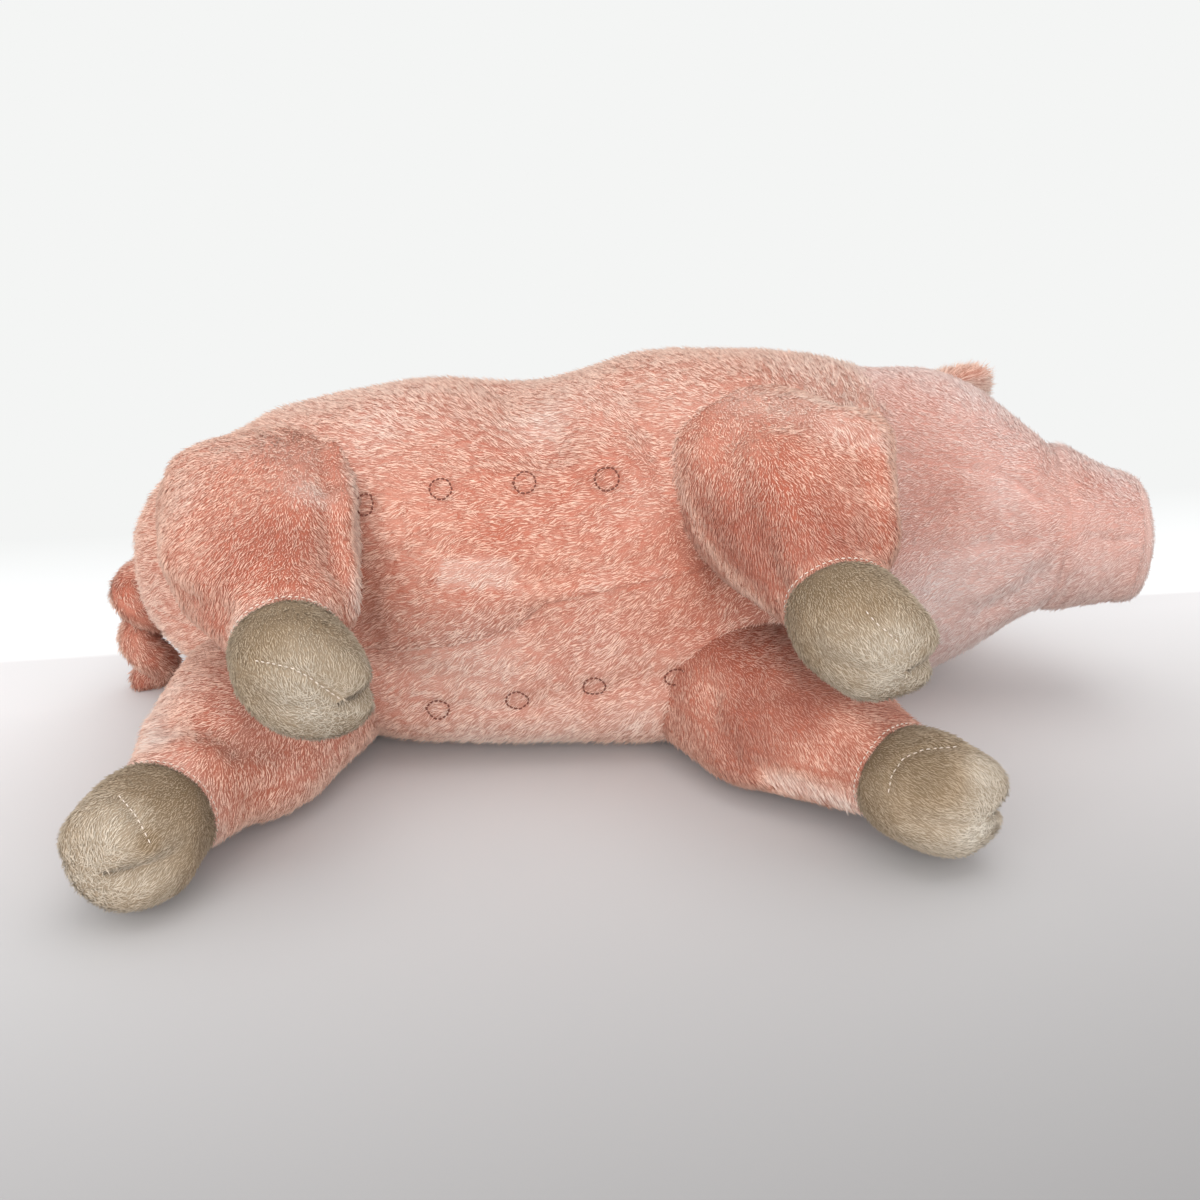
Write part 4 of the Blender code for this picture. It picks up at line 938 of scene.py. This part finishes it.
NOSE_MIDDLE = ZERO + Vector((0.2403, 0.0060, 0.0745))
NOSE_PROFILE = ((0.0262, -0.0028), (0.0284, -0.0012), (0.0288, 0.0006), (0.0276, 0.0022), (0.0250, 0.0030),
                (0.0190, 0.0036), (0.0120, 0.0039), (0.0050, 0.0040), (0.0010, 0.0040))
NOSTRIL_PLACES, NOSTRIL_DEPTH, NOSTRIL_REACH = ((0.001, 0.011), (0.001, -0.011)), 0.0026, 0.0042
PALE_PINK = ((0.55, 0.34, 0.29), (0.84, 0.66, 0.60), (0.93, 0.82, 0.78), (0.95, 0.88, 0.85), PINK_SHADE)
pale_plush = plush_finish("Pale pink plush", PALE_PINK, 0.2, 0.02)
profile = through(NOSE_PROFILE, 26)
nose_grid = np.array([[NOSE_MIDDLE + Vector((x, r * math.cos(t), r * math.sin(t))) for t in head_turns]
                      for r, x in profile])
for y, z in NOSTRIL_PLACES:
    from_middle = nose_grid - np.array(NOSE_MIDDLE + Vector((0, y, z)))
    away = np.linalg.norm(from_middle[..., 1:] / (1.25, 0.9), axis=2)
    nose_grid[..., 0] -= NOSTRIL_DEPTH * np.exp(-((away / NOSTRIL_REACH) ** 4))
nose_lines = [[NOSE_MIDDLE + Vector((0.002, y + 0.0052 * math.cos(t), z + 0.0038 * math.sin(t)))
               for t in np.linspace(0, 2 * math.pi, 19)] for y, z in NOSTRIL_PLACES]
nose_skin = skin_of("nose_plush", nose_grid, True, None, NOSE_MIDDLE + Vector((0.0040, 0, 0)))
nose = dressed("nose_plush", nose_skin, pale_plush, nose_lines, (0.0, 0.1, -1.0), spacing=0.0006,
               length=0.0016, width=0.0005, lean=40, seam_breadth=0.0012)
fitted(nose, "head", "nose_pad")

# Eyes
# Domed black safety eyes on ribbed shanks, each locked through the cover by a white washer.

black, nodes, shader = blank_finish("Black eye plastic")
place = add(nodes, "ShaderNodeTexCoord").outputs["Object"]
specks = add(nodes, "ShaderNodeTexNoise", {"Vector": place, "Scale": 900.0, "Detail": 4.0}).outputs["Fac"]
tone = add(nodes, "ShaderNodeMix", {
    0: specks, 6: (0.006, 0.005, 0.005, 1), 7: (0.020, 0.014, 0.012, 1)}, data_type="RGBA").outputs[2]
gloss = add(nodes, "ShaderNodeMapRange", {"Value": specks, "To Min": 0.04, "To Max": 0.16}).outputs[0]
nodes.links.new(tone, shader.inputs["Base Color"])
nodes.links.new(gloss, shader.inputs["Roughness"])
shader.inputs["Coat Weight"].default_value = 0.6
DOME = (  # radius, height over the seat
    (0.0016, -0.0090), (0.0016, -0.0012), (0.0046, -0.0010), (0.0048, -0.0002), (0.0047, 0.0006),
    (0.0043, 0.0018), (0.0035, 0.0028), (0.0024, 0.0034), (0.0012, 0.0037),
)
SHANK, DOME_TOP, SEAT_OVER_WASHER = 0.0090, 0.0038, 0.0058
white, nodes, shader = blank_finish("White washer plastic")
place = add(nodes, "ShaderNodeTexCoord").outputs["Object"]
grain = add(nodes, "ShaderNodeTexNoise", {"Vector": place, "Scale": 700.0}).outputs["Fac"]
tone = add(nodes, "ShaderNodeMix", {
    0: grain, 6: (0.80, 0.80, 0.77, 1), 7: (0.88, 0.88, 0.86, 1)}, data_type="RGBA").outputs[2]
bump = add(nodes, "ShaderNodeBump", {"Height": grain, "Strength": 0.2, "Distance": 0.0002}).outputs[0]
nodes.links.new(tone, shader.inputs["Base Color"])
nodes.links.new(bump, shader.inputs["Normal"])
shader.inputs["Roughness"].default_value = 0.4
for side in ("right", "left"):
    middles = {}
    for node in ("eye_" + side, "eye_washer_" + side):
        low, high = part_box(node)
        middles[node] = (Vector(low) + Vector(high)) / 2
    washer = frame["nodes"]["eye_washer_" + side]
    for slot in washer.material_slots:
        slot.material = white
    out = (middles["eye_" + side] - middles["eye_washer_" + side]).normalized()
    seat = middles["eye_washer_" + side] + out * SEAT_OVER_WASHER
    across = out.orthogonal().normalized()
    other = out.cross(across)
    around = np.linspace(0, 2 * math.pi, 40, endpoint=False)
    grid = np.array([[seat + out * h + (across * math.cos(t) + other * math.sin(t)) * r for t in around]
                     for r, h in DOME])
    mesh = skin_of("eye_dome_" + side, grid, True, seat - out * SHANK, seat + out * DOME_TOP)
    mesh.materials.append(black)
    eye = bpy.data.objects.new("eye_dome_" + side, mesh)
    bpy.context.scene.collection.objects.link(eye)
    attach(eye, "head")
    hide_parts("eye_" + side)

# Ears
# Two leaves of plush sewn face to face and turned, pale inside, each flopping over its seam.

EAR_ROWS = (  # place along, half breadth, half thickness
    (0.00, 0.0185, 0.0036), (0.10, 0.0215, 0.0056), (0.28, 0.0240, 0.0076), (0.46, 0.0246, 0.0084),
    (0.64, 0.0236, 0.0082), (0.81, 0.0204, 0.0072), (0.92, 0.0156, 0.0056), (0.98, 0.0090, 0.0034),
)
EAR_LENGTH, EAR_LEAN, EAR_CURL, EAR_CUP = 0.046, math.radians(61), 0.006, 0.0030
EAR_ROUND = (0.669131, 0.743145)  # cosine and sine of 48 degrees, round the head from its top
EAR_HALF = 0.022
for side, sign in (("right", 1), ("left", -1)):
    seam_at = joint_at[f"ear_{side}_flop"]
    over = Vector((0, EAR_ROUND[0], sign * EAR_ROUND[1]))
    hinge = Vector((1, 0, 0)).cross(over)
    grow = over * math.cos(EAR_LEAN) + Vector((1, 0, 0)) * math.sin(EAR_LEAN)
    face = Vector((1, 0, 0)) * math.cos(EAR_LEAN) - over * math.sin(EAR_LEAN)
    rows = through(EAR_ROWS, 44)
    around = np.linspace(0, 2 * math.pi, 40, endpoint=False)
    grid = []
    for along, half, thick in rows:
        middle = seam_at + grow * (EAR_LENGTH * along) + face * (EAR_CURL * along**2)
        ring = []
        for t in around:
            x = half * math.cos(t)
            cup = -EAR_CUP * (x / EAR_HALF) ** 2
            curl = 0.0035 * (x / EAR_HALF) ** 2
            ring.append(middle + hinge * x + face * (thick * math.sin(t) + curl) + grow * cup)
        grid.append(ring)
    grid = np.array(grid)
    normals = outward(grid, True)
    inner = (normals @ np.array(face)).reshape(-1)
    pale = np.append(np.clip(inner * 1.2, 0.15, 0.95), (0.5, 0.5))
    rim = np.abs(np.cos(around))[None].repeat(len(rows), 0).reshape(-1)
    lengths = np.append(1.0 + 0.45 * rim**4, (1.3, 1.3))
    tip = grid[-1].mean(0) + np.array(grow) * 0.0012
    mesh = skin_of("ear_plush_" + side, grid, True, seam_at - grow * 0.0015, tip)
    rim_seams = [grid[:, 0], grid[:, len(around) // 2]]
    ear = dressed("ear_plush_" + side, mesh, pink_plush, rim_seams, grow, spacing=0.00062, length=0.0050,
                  lean=38, brushed_sheen_and_shade=pale, lengths=lengths, seam_breadth=0.0012)
    fitted(ear, "ear_" + side, "ear_" + side)

# Legs
# Each is a bag of two plush shapes: a round haunch sewn into the trunk, then a tapering shank.

LEGS = {  # haunch half sizes, shank length, yaw, droop
    "right_hind": ((0.042, 0.0350), 0.094, 19, 0.023),
    "left_hind": ((0.043, 0.0308), 0.108, -13, 0.006),
    "right_front": ((0.042, 0.0380), 0.082, 12, 0.026),
    "left_front": ((0.040, 0.0325), 0.089, 33, 0.006),
}
ANKLE, HOOF_SET = 0.0198, 0.003  # ankle half width; the hoof is sewn on this far below the leg's end
SHANK_TAPER = ((0.0, 0.0), (0.22, 0.02), (0.43, 0.18), (0.64, 0.46), (0.84, 0.80), (1.0, 1.0))
LEG_FOLDS = {
    "right_hind": (
        (((335, 425), (344, 500), (348, 570), (348, 620)), 0.0040, -0.0028),
        (((320, 430), (328, 500), (333, 570)), 0.0050, 0.0024),
        (((160, 560), (185, 590), (220, 612)), 0.0065, 0.0036),
        (((158, 520), (172, 560), (200, 590)), 0.0065, -0.0026),
        (((290, 430), (310, 450), (325, 480)), 0.0080, 0.0016),
    ),
    "left_hind": (
        (((165, 700), (185, 725), (240, 745), (330, 740)), 0.0070, 0.0020),
        (((170, 745), (230, 775), (290, 770)), 0.0060, -0.0012),
        (((160, 690), (170, 720), (165, 745)), 0.0050, 0.0016),
    ),
    "right_front": (
        (((728, 440), (736, 480), (752, 525), (774, 575), (785, 600)), 0.0065, 0.0032),
        (((790, 402), (840, 418), (874, 434), (883, 480), (886, 545)), 0.0045, -0.0020),
        (((857, 445), (866, 485), (870, 545)), 0.0060, 0.0018),
        (((790, 425), (825, 432), (852, 445)), 0.0070, 0.0014),
        (((690, 400), (700, 430), (705, 470)), 0.0080, -0.0016),
    ),
    "left_front": (
        (((700, 700), (730, 690), (770, 690)), 0.0060, 0.0018),
        (((765, 770), (800, 780), (850, 792)), 0.0050, 0.0016),
        (((760, 790), (800, 800), (845, 810)), 0.0050, -0.0014),
        (((708, 690), (714, 720), (735, 755)), 0.0050, 0.0022),
    ),
}
LEG_PULLS = {  # pixel, reach, sight-plane move to the right and up
    "right_hind": ((285, 440, 0.024, 0.014, 0.005), (315, 490, 0.020, 0.008, 0.0), (345, 600, 0.014, 0.004, 0.0),
                   (190, 440, 0.028, 0.007, -0.007), (160, 500, 0.020, 0.003, -0.002)),
    "left_hind": ((300, 775, 0.022, 0.004, -0.005),),
    "right_front": ((845, 435, 0.022, 0.013, 0.004), (868, 490, 0.016, 0.005, 0.0), (690, 440, 0.018, -0.005, 0.003),
                    (884, 540, 0.012, 0.002, 0.0)),
    "left_front": ((735, 765, 0.020, -0.002, -0.003), (800, 795, 0.016, -0.002, -0.006)),
}
# painted sheen of brushed pile where positive, painted shade where negative: pixel, reach, how much
LEG_SHEEN_AND_SHADE = {
    "right_hind": ((305, 490, 0.008, 0.8), (322, 498, 0.007, 0.6), (275, 450, 0.016, 0.4), (240, 620, 0.006, 0.5),
                   (330, 618, 0.008, 0.5), (180, 500, 0.018, 0.35), (220, 560, 0.016, -0.2), (175, 600, 0.010, 0.3)),
    "left_hind": ((175, 690, 0.010, 0.6), (170, 740, 0.008, 0.6), (250, 720, 0.015, 0.15)),
    "right_front": ((740, 400, 0.012, 0.7), (790, 408, 0.012, 0.7), (840, 422, 0.010, 0.7), (876, 438, 0.005, 0.8),
                    (785, 600, 0.008, 0.6), (820, 460, 0.010, 0.25), (887, 500, 0.006, 0.5), (889, 550, 0.006, 0.4)),
    "left_front": ((850, 725, 0.008, 0.7), (855, 805, 0.010, 0.9), (790, 775, 0.008, 0.7), (705, 690, 0.010, 0.4),
                   (815, 760, 0.010, 0.5)),
}
LEG_RIMS = {  # edges where the pile stands out long, painted pale as sheen
    "right_hind": (((342, 430), (350, 470), (354, 510), (356, 550), (356, 590), (355, 615)), 0.55),
    "left_hind": (((160, 690), (160, 720), (158, 745)), 0.4),
    "right_front": (((669, 440), (676, 470), (690, 505), (708, 540), (735, 575), (760, 600)), 0.65),
    "left_front": (((765, 775), (790, 782), (815, 790), (840, 800)), 0.55),
}
LEG_TONES = {  # of the shaded part, and how much paler the part that the light falls on is
    "right_hind": (-0.27, 0.45), "left_hind": (0.0, 0.0),
    "right_front": (-0.78, 0.80), "left_front": (-0.70, 0.0),
}
LEG_NAPS = {
    "right_hind": Vector((-0.3, 0.0, -1.0)),
    "left_hind": Vector((-0.5, 0.0, -0.8)),
    "right_front": Vector((0.3, 0.0, -1.0)),
    "left_front": Vector((0.6, 0.0, -0.8)),
}
RUNS_INTO_BODY = {  # towards where a haunch has no edge of its own, and how far that reaches
    "right_hind": ((-0.50, 0.0, 0.87), 0.022),
    "left_hind": ((-0.2, 0.0, 1.0), 0.012),
    "right_front": ((0.25, 0.0, 0.97), 0.026),
    "left_front": ((0.3, 0.0, 1.0), 0.014),
}
LEG_RINGS, LEG_COLUMNS = 76, 80


def run_into(grid, tree, middle, toward, reach, under=0.010, sink=0.0065):
    """The grid laid down onto a skin on one side, as a haunch runs into the body."""
    toward = Vector(toward).normalized()
    laid = grid.reshape(-1, 3).copy()
    for i, place in enumerate(laid):
        place = Vector(place)
        near, normal, _, gap = tree.find_nearest(place)
        gap = gap if (place - near).dot(normal) > 0 else -gap
        if gap > reach:
            continue
        deep = (gap + under) / (reach + under)
        eased = reach * deep**2 - sink * (1 - deep) if deep > 0 else gap + under - sink
        share = min(1.0, max(0.0, (place - middle).dot(toward) / 0.026 + 0.20))
        laid[i] = place + normal * (share * (eased - gap))
    return laid.reshape(grid.shape)


leg_turns = np.linspace(0, 2 * math.pi, LEG_COLUMNS, endpoint=False)
leg_ways, leg_trees = {}, {}
for name, ((across_half, up_half), shank, yaw, droop) in LEGS.items():
    middle, yaw, dip = joint_at[f"leg_{name}_swing"], math.radians(yaw), math.asin(droop / shank)
    down = Vector((math.sin(yaw) * math.cos(dip), -math.cos(yaw) * math.cos(dip), -math.sin(dip)))
    across = Vector((math.cos(yaw), math.sin(yaw), 0))
    upright = across.cross(down).normalized()
    upright = upright if upright.z > 0 else -upright
    leg_ways[name] = (middle, down, across, upright, middle + down * (shank + HOOF_SET))
    rows = []
    for tilt in np.linspace(0.12, math.pi / 2, 8)[:-1]:
        rows.append((-across_half * math.cos(tilt), across_half * math.sin(tilt), up_half * math.sin(tilt)))
    for place, taper in SHANK_TAPER:
        rows.append(((shank + HOOF_SET) * place, across_half + (ANKLE - across_half) * taper,
                     up_half + (ANKLE - up_half) * taper))
    rows = through(rows, LEG_RINGS)
    rows = np.array([(*(middle + down * s), a, u) for s, a, u in rows])
    bed = np.linspace(4.6, 2.2, LEG_RINGS)[:, None] if name.startswith("left") else 2.2
    grid = wrapped(drawn_in(rows, PILE_ROOM), across, upright, leg_turns, 2.2, bed)
    trial = tree_of(skin_of("rough_" + name, grid, True, middle - down * across_half))
    for x, y, reach, right, up in LEG_PULLS[name]:
        for p, _ in seen_on(trial, [(x, y)]):
            grid = grabbed(grid, p, reach, Vector((right, 0, 0)) + SIGHT_UP * up)
    grid = run_into(grid, trunk_tree, middle, *RUNS_INTO_BODY[name])
    normals = outward(grid, True)
    trial = tree_of(skin_of("bent_" + name, grid, True, middle - down * across_half))
    for pixels, breadth, depth in LEG_FOLDS[name]:
        line = [p for p, _ in seen_on(trial, pixels)]
        if len(line) > 1:
            grid = folded(grid, normals, line, breadth, depth)
    grid = lumpy(grid, normals, 0.030, 0.0022, 11 + len(leg_trees))
    grid = lumpy(grid, normals, 0.011, 0.0007, 21 + len(leg_trees))
    grid[..., 2] = np.maximum(grid[..., 2], 0.0022)
    mesh = skin_of("leg_plush_" + name, grid, True, middle - down * (across_half - PILE_ROOM))
    leg_trees[name] = tree_of(mesh)
    cover = []
    for vert in mesh.vertices:
        near, normal, _, gap = trunk_tree.find_nearest(vert.co)
        inside = (vert.co - near).dot(near - Vector((near.x, ZERO.y, 0.075))) < 0 and gap > 0.006
        cover.append(0.0 if inside else 1.0)
    side_seams = [grid[:, 0], grid[:, LEG_COLUMNS // 2]]
    rim = [(x, y, 0.0045, LEG_RIMS[name][1]) for x, y in through(LEG_RIMS[name][0], 16)]
    longer = 1 + 0.35 * spotted(grid, leg_trees[name], [(x, y, reach, 0.6) for x, y, reach, _ in rim])
    # painted shade over the whole leg, painted light on its top, painted sheen on its rims and brushed places, paler
    # at the ankle
    in_shade, on_top = LEG_TONES[name]
    pale = spotted(grid, leg_trees[name], [*LEG_SHEEN_AND_SHADE[name], *rim], in_shade)
    pale += patchy(grid, 0.030, -0.15, 0.22, 6)
    pale += on_top * risen(grid[..., 2], 0.112, 0.138).reshape(-1)
    pale += np.repeat(0.7 * risen(np.arange(LEG_RINGS), LEG_RINGS - 5, LEG_RINGS), LEG_COLUMNS)  # at the ankle
    leg = dressed("leg_plush_" + name, mesh, pink_plush, side_seams, down * 0.5 + LEG_NAPS[name],
                  brushed_sheen_and_shade=np.append(pale, 0.0), lengths=np.append(longer, 1.0), cover=cover,
                  lean=22, length=0.0038, spacing=0.00064, width=0.00043, swirl=1.5, swirl_size=0.009,
                  clumps=0.42, seam_breadth=0.0020)
    fitted(leg, "leg_" + name, "leg_cover_" + name)
    inner = wrapped(drawn_in(rows[6::3], FILLING_ROOM), across, upright, turns)
    filled("leg_fibre_" + name, inner, inner[0].mean(0), inner[-1].mean(0),
           "leg_" + name, "leg_stuffing_" + name)

# Hooves
# Cloven mittens of short taupe plush, sewn round the ankle in pale thread, with a seam over the
# sole that runs into the cleft.

HOOF_LENGTH, HOOF_HALF_WIDTH, HOOF_HALF_HEIGHT, HOOF_ROOM = 0.0390, 0.0226, 0.0220, 0.0016
HOOF_BREADTHS = ((0.0, 0.86), (0.03, 0.91), (0.10, 0.96), (0.22, 1.0), (0.38, 1.03), (0.55, 1.02), (0.70, 0.98),
                 (0.82, 0.91), (0.91, 0.78), (0.97, 0.56), (1.0, 0.30), (1.01, 0.06))
CLEFT_DEPTHS = {"right_hind": 0.0105, "left_hind": 0.0070, "right_front": 0.0110, "left_front": 0.0150}
CLEFT_SPREAD = 13
TOE_LEANS = {"right_hind": 0.0110, "left_hind": -0.0010, "right_front": 0.0090, "left_front": 0.0060}
HOOF_SEAMS = {
    "right_hind": ((256, 661), (274, 664), (291, 669), (308, 676), (324, 688), (338, 698)),
    "left_hind": ((120, 797), (129, 806), (136, 817), (142, 826), (149, 840)),
    "right_front": ((868, 612), (876, 622), (886, 632), (897, 640)),
    "left_front": ((889, 790), (891, 774), (903, 757), (925, 749), (954, 746), (975, 747), (992, 752)),
}
# painted sheen of brushed pile where positive, painted shade in creases and hollows where negative: pixel, reach,
# how much
HOOF_SHEEN_AND_SHADE = {
    "right_hind": ((318, 715, 0.008, 0.4), (290, 690, 0.009, 0.3)),
    "left_hind": ((110, 820, 0.010, 0.35), (130, 880, 0.008, 0.3), (150, 842, 0.004, -0.6)),
    "right_front": ((885, 645, 0.009, 0.5), (890, 680, 0.008, 0.5), (830, 650, 0.008, 0.3), (860, 600, 0.010, -0.3)),
    "left_front": ((985, 770, 0.009, 0.8), (975, 835, 0.011, 0.7), (938, 775, 0.012, -0.7), (905, 830, 0.010, 0.3)),
}
TAUPE = ((0.24, 0.165, 0.095), (0.53, 0.405, 0.280), (0.69, 0.575, 0.445), (0.86, 0.79, 0.68),
         (0.55, 0.52, 0.47))
taupe_plush = plush_finish("Taupe plush", TAUPE, 0.5, 0.018)
pale_thread = thread_finish("Pale thread", (0.92, 0.82, 0.72), (0.66, 0.55, 0.46))
for name, (middle, down, across, upright, ankle) in leg_ways.items():
    rows = through(HOOF_BREADTHS, 58)
    grid = []
    for place, breadth in rows:
        centre = ankle + down * (HOOF_LENGTH * place) + across * (TOE_LEANS[name] * place**2)
        deep = CLEFT_DEPTHS[name] * min(1.0, max(0.0, place - 0.50) / 0.40)
        ring = []
        for t in leg_turns:
            off = math.degrees(min(t, 2 * math.pi - t))
            under = 0.25 * math.exp(-(((180 - off) / 16) ** 2))
            cleft = deep * (math.exp(-((off / CLEFT_SPREAD) ** 2)) + under)
            cleft *= min(1.0, breadth * 1.6)
            swell = 1 + 0.03 * math.exp(-(((off - 45) / 25) ** 2)) * place
            reach_x = (HOOF_HALF_WIDTH - HOOF_ROOM) * breadth * swell - cleft
            reach_y = (HOOF_HALF_HEIGHT - HOOF_ROOM) * breadth * swell - cleft
            back = 0.0045 * math.exp(-((off / 20) ** 2)) * max(0.0, place - 0.6) / 0.4
            ring.append(centre - down * back + across * (max(reach_x, 0.0004) * math.cos(t))
                        + upright * (max(reach_y, 0.0004) * math.sin(t)))
        grid.append(ring)
    grid = np.array(grid)
    normals = outward(grid, True)
    grid = lumpy(grid, normals, 0.014, 0.0010, 31)
    trial = tree_of(skin_of("rough_hoof_" + name, grid, True, None, grid[-1].mean(0)))
    sole = seen_on(trial, HOOF_SEAMS[name])
    grid = folded(grid, normals, [p for p, _ in sole], 0.0016, 0.0011)
    grid[..., 2] = np.maximum(grid[..., 2], 0.0014)
    mesh = skin_of("hoof_plush_" + name, grid, True, None, grid[-1].mean(0))
    hoof_tree = tree_of(mesh)
    # darker towards the ankle and paler towards the toe, with the painted sheen and shade of the table above
    toeward = np.repeat(-0.45 + 0.95 * rows[:, 0] ** 1.3, LEG_COLUMNS)
    pale = spotted(grid, hoof_tree, HOOF_SHEEN_AND_SHADE[name]) + toeward + patchy(grid, 0.014, -0.12, 0.12, 7)
    ankle_ring = np.vstack([grid[1], grid[1, :1]])
    hoof = dressed("hoof_plush_" + name, mesh, taupe_plush, [ankle_ring, [p for p, _ in sole]], down,
                   spacing=0.00054, length=0.0030, width=0.00039, lean=21, swirl=1.0, swirl_size=0.008,
                   clumps=0.30, seam_breadth=0.0014, brushed_sheen_and_shade=np.append(pale, 0.4))
    fitted(hoof, "leg_" + name, "hoof_" + name)
    ring_normals = outward(grid, True)[1]
    ring = [(Vector(p) + Vector(n) * 0.0010, Vector(n)) for p, n in zip(grid[1], ring_normals)]
    laid = [(hoof_tree.find_nearest(p)[0], n) for p, n in sole]
    threads = sewn("hoof_stitches_" + name, [ring + ring[:1], laid], pale_thread, pitch=0.0023, stitch=0.0014,
                   thick=0.00042, lift=0.0006)
    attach(threads, "leg_" + name)

# Tail
# A thin stuffed tube of plush that its inner seam pulls into a corkscrew, sewn to the rump.

TAIL_ROOT = joint_at["tail_wag"]
TAIL_CURL, TAIL_TURNS, TAIL_DROP, TAIL_STAND = 0.0042, 2.3, 0.0540, 0.0080
TAIL_THICK, TAIL_THIN = 0.0098, 0.0078
curl_axis = TAIL_ROOT + Vector((-TAIL_STAND, -TAIL_CURL, -0.0040))
path = [TAIL_ROOT + Vector((0.004, 0, 0)), TAIL_ROOT,
        TAIL_ROOT.lerp(curl_axis + Vector((0, TAIL_CURL, 0)), 0.5)]
for i in range(60):
    t = i / 59
    turn = math.pi / 2 + 2 * math.pi * TAIL_TURNS * t
    path.append(curl_axis + Vector((
        TAIL_CURL * math.cos(turn), TAIL_CURL * math.sin(turn), -TAIL_DROP * t**1.15)))
way = through([tuple(p) for p in path], 150)
headings = np.gradient(way, axis=0)
headings /= np.linalg.norm(headings, axis=1, keepdims=True)
side = np.array((0.0, 0.0, 1.0))
grid = []
around = np.linspace(0, 2 * math.pi, 24, endpoint=False)
for i, (p, heading) in enumerate(zip(way, headings)):
    side = side - heading * (side @ heading)
    side /= np.linalg.norm(side)
    other = np.cross(heading, side)
    t = i / (len(way) - 1)
    radius = (TAIL_THICK + (TAIL_THIN - TAIL_THICK) * t) * min(1.0, (1.02 - t) * 14) ** 0.5
    grid.append([p + (side * math.cos(a) + other * math.sin(a)) * radius for a in around])
grid = np.array(grid)
mesh = skin_of("tail_plush", grid, True, way[0], way[-1] + headings[-1] * 0.0010)
flow = np.concatenate([np.repeat(headings[:, None], 24, 1).reshape(-1, 3), [headings[0], headings[-1]]])
shaded = patchy(np.concatenate([grid.reshape(-1, 3), [way[0], way[-1]]]), 0.012, -0.60, 0.15, 8)
tail = dressed("tail_plush", mesh, pink_plush, [grid[:, 0]], flow, spacing=0.00064, length=0.0036,
               lean=33, swirl=1.4, brushed_sheen_and_shade=shaded)
fitted(tail, "tail", "tail")


# Room
# A plain pale floor that turns into a white wall paper behind the toy, in soft window light.

WALL = (0.905, 0.913, 0.905)
floor_mesh = bpy.data.meshes.new("floor")
floor_mesh.from_pydata([(-6, -6, 0), (6, -6, 0), (6, 6, 0), (-6, 6, 0)], [], [(0, 1, 2, 3)])
floor = bpy.data.objects.new("floor", floor_mesh)
bpy.context.scene.collection.objects.link(floor)
paper, nodes, shader = blank_finish("Pale paper")
place = add(nodes, "ShaderNodeTexCoord").outputs["Object"]
split = add(nodes, "ShaderNodeSeparateXYZ", {"Vector": place}).outputs
slope = add(nodes, "ShaderNodeMath", {0: split["X"], 1: -0.162}, operation="MULTIPLY").outputs[0]
back = add(nodes, "ShaderNodeMath", {0: split["Y"], 1: slope}, operation="ADD").outputs[0]
# painted shade: the near floor darker towards the front and towards the right
sides = add(nodes, "ShaderNodeMath", {0: split["X"], 1: 0.24}, operation="MULTIPLY").outputs[0]
dim = add(nodes, "ShaderNodeMath", {0: split["Y"], 1: sides}, operation="SUBTRACT").outputs[0]
shade = add(nodes, "ShaderNodeMapRange", {
    "Value": dim, "From Min": -0.30, "From Max": 0.10, "To Min": 0.305, "To Max": 0.76}).outputs[0]
near = add(nodes, "ShaderNodeCombineColor", {
    0: shade,
    1: add(nodes, "ShaderNodeMath", {0: shade, 1: 0.975}, operation="MULTIPLY").outputs[0],
    2: add(nodes, "ShaderNodeMath", {0: shade, 1: 0.965}, operation="MULTIPLY").outputs[0]}).outputs[0]
edge = add(nodes, "ShaderNodeMapRange", {
    "Value": back, "From Min": 0.140, "From Max": 0.146, "To Min": 0.0, "To Max": 1.0}).outputs[0]
both_tones = add(nodes, "ShaderNodeMix", {0: edge, 6: near, 7: (*WALL, 1)}, data_type="RGBA").outputs[2]
nodes.links.new(both_tones, shader.inputs["Base Color"])
shader.inputs["Roughness"].default_value = 0.9
shader.inputs["Specular IOR Level"].default_value = 0.1
plain = add(nodes, "ShaderNodeEmission", {"Color": (*WALL, 1), "Strength": 1.0}).outputs[0]
far = add(nodes, "ShaderNodeMapRange", {
    "Value": back, "From Min": 0.16, "From Max": 0.36, "To Min": 0.0, "To Max": 1.0}).outputs[0]
seen = add(nodes, "ShaderNodeLightPath").outputs["Is Camera Ray"]
share = add(nodes, "ShaderNodeMath", {0: far, 1: seen}, operation="MULTIPLY").outputs[0]
mix = add(nodes, "ShaderNodeMixShader", {0: share, 1: shader.outputs[0], 2: plain}).outputs[0]
nodes.links.new(mix, nodes.nodes["Material Output"].inputs["Surface"])
floor_mesh.materials.append(paper)
floor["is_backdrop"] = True

world = bpy.data.worlds.new("Studio")
bpy.context.scene.world = world
world.use_nodes = True
sky = world.node_tree
lit = sky.nodes["Background"]
lit.inputs["Color"].default_value = (0.97, 0.98, 1.0, 1)
lit.inputs["Strength"].default_value = 0.92
plain = add(sky, "ShaderNodeBackground", {"Color": (*WALL, 1), "Strength": 1.0})
watch = add(sky, "ShaderNodeLightPath").outputs["Is Camera Ray"]
swap = add(sky, "ShaderNodeMixShader", {0: watch, 1: lit.outputs[0], 2: plain.outputs[0]})
sky.links.new(swap.outputs[0], sky.nodes["World Output"].inputs["Surface"])

for name, at, size, power in (
    ("Window", (-0.15, -1.30, 0.48), (2.6, 0.9), 19.5),
    ("Ceiling", (0.2, 0.1, 1.6), (1.4, 1.4), 7.0),
):
    lamp = bpy.data.lights.new(name, "AREA")
    lamp.shape = "RECTANGLE"
    (lamp.size, lamp.size_y), lamp.energy = size, power
    holder = bpy.data.objects.new(name, lamp)
    holder.location = at
    holder.rotation_euler = (Vector((0, 0, 0.06)) - Vector(at)).to_track_quat("-Z", "Y").to_euler()
    bpy.context.scene.collection.objects.link(holder)

low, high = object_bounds()
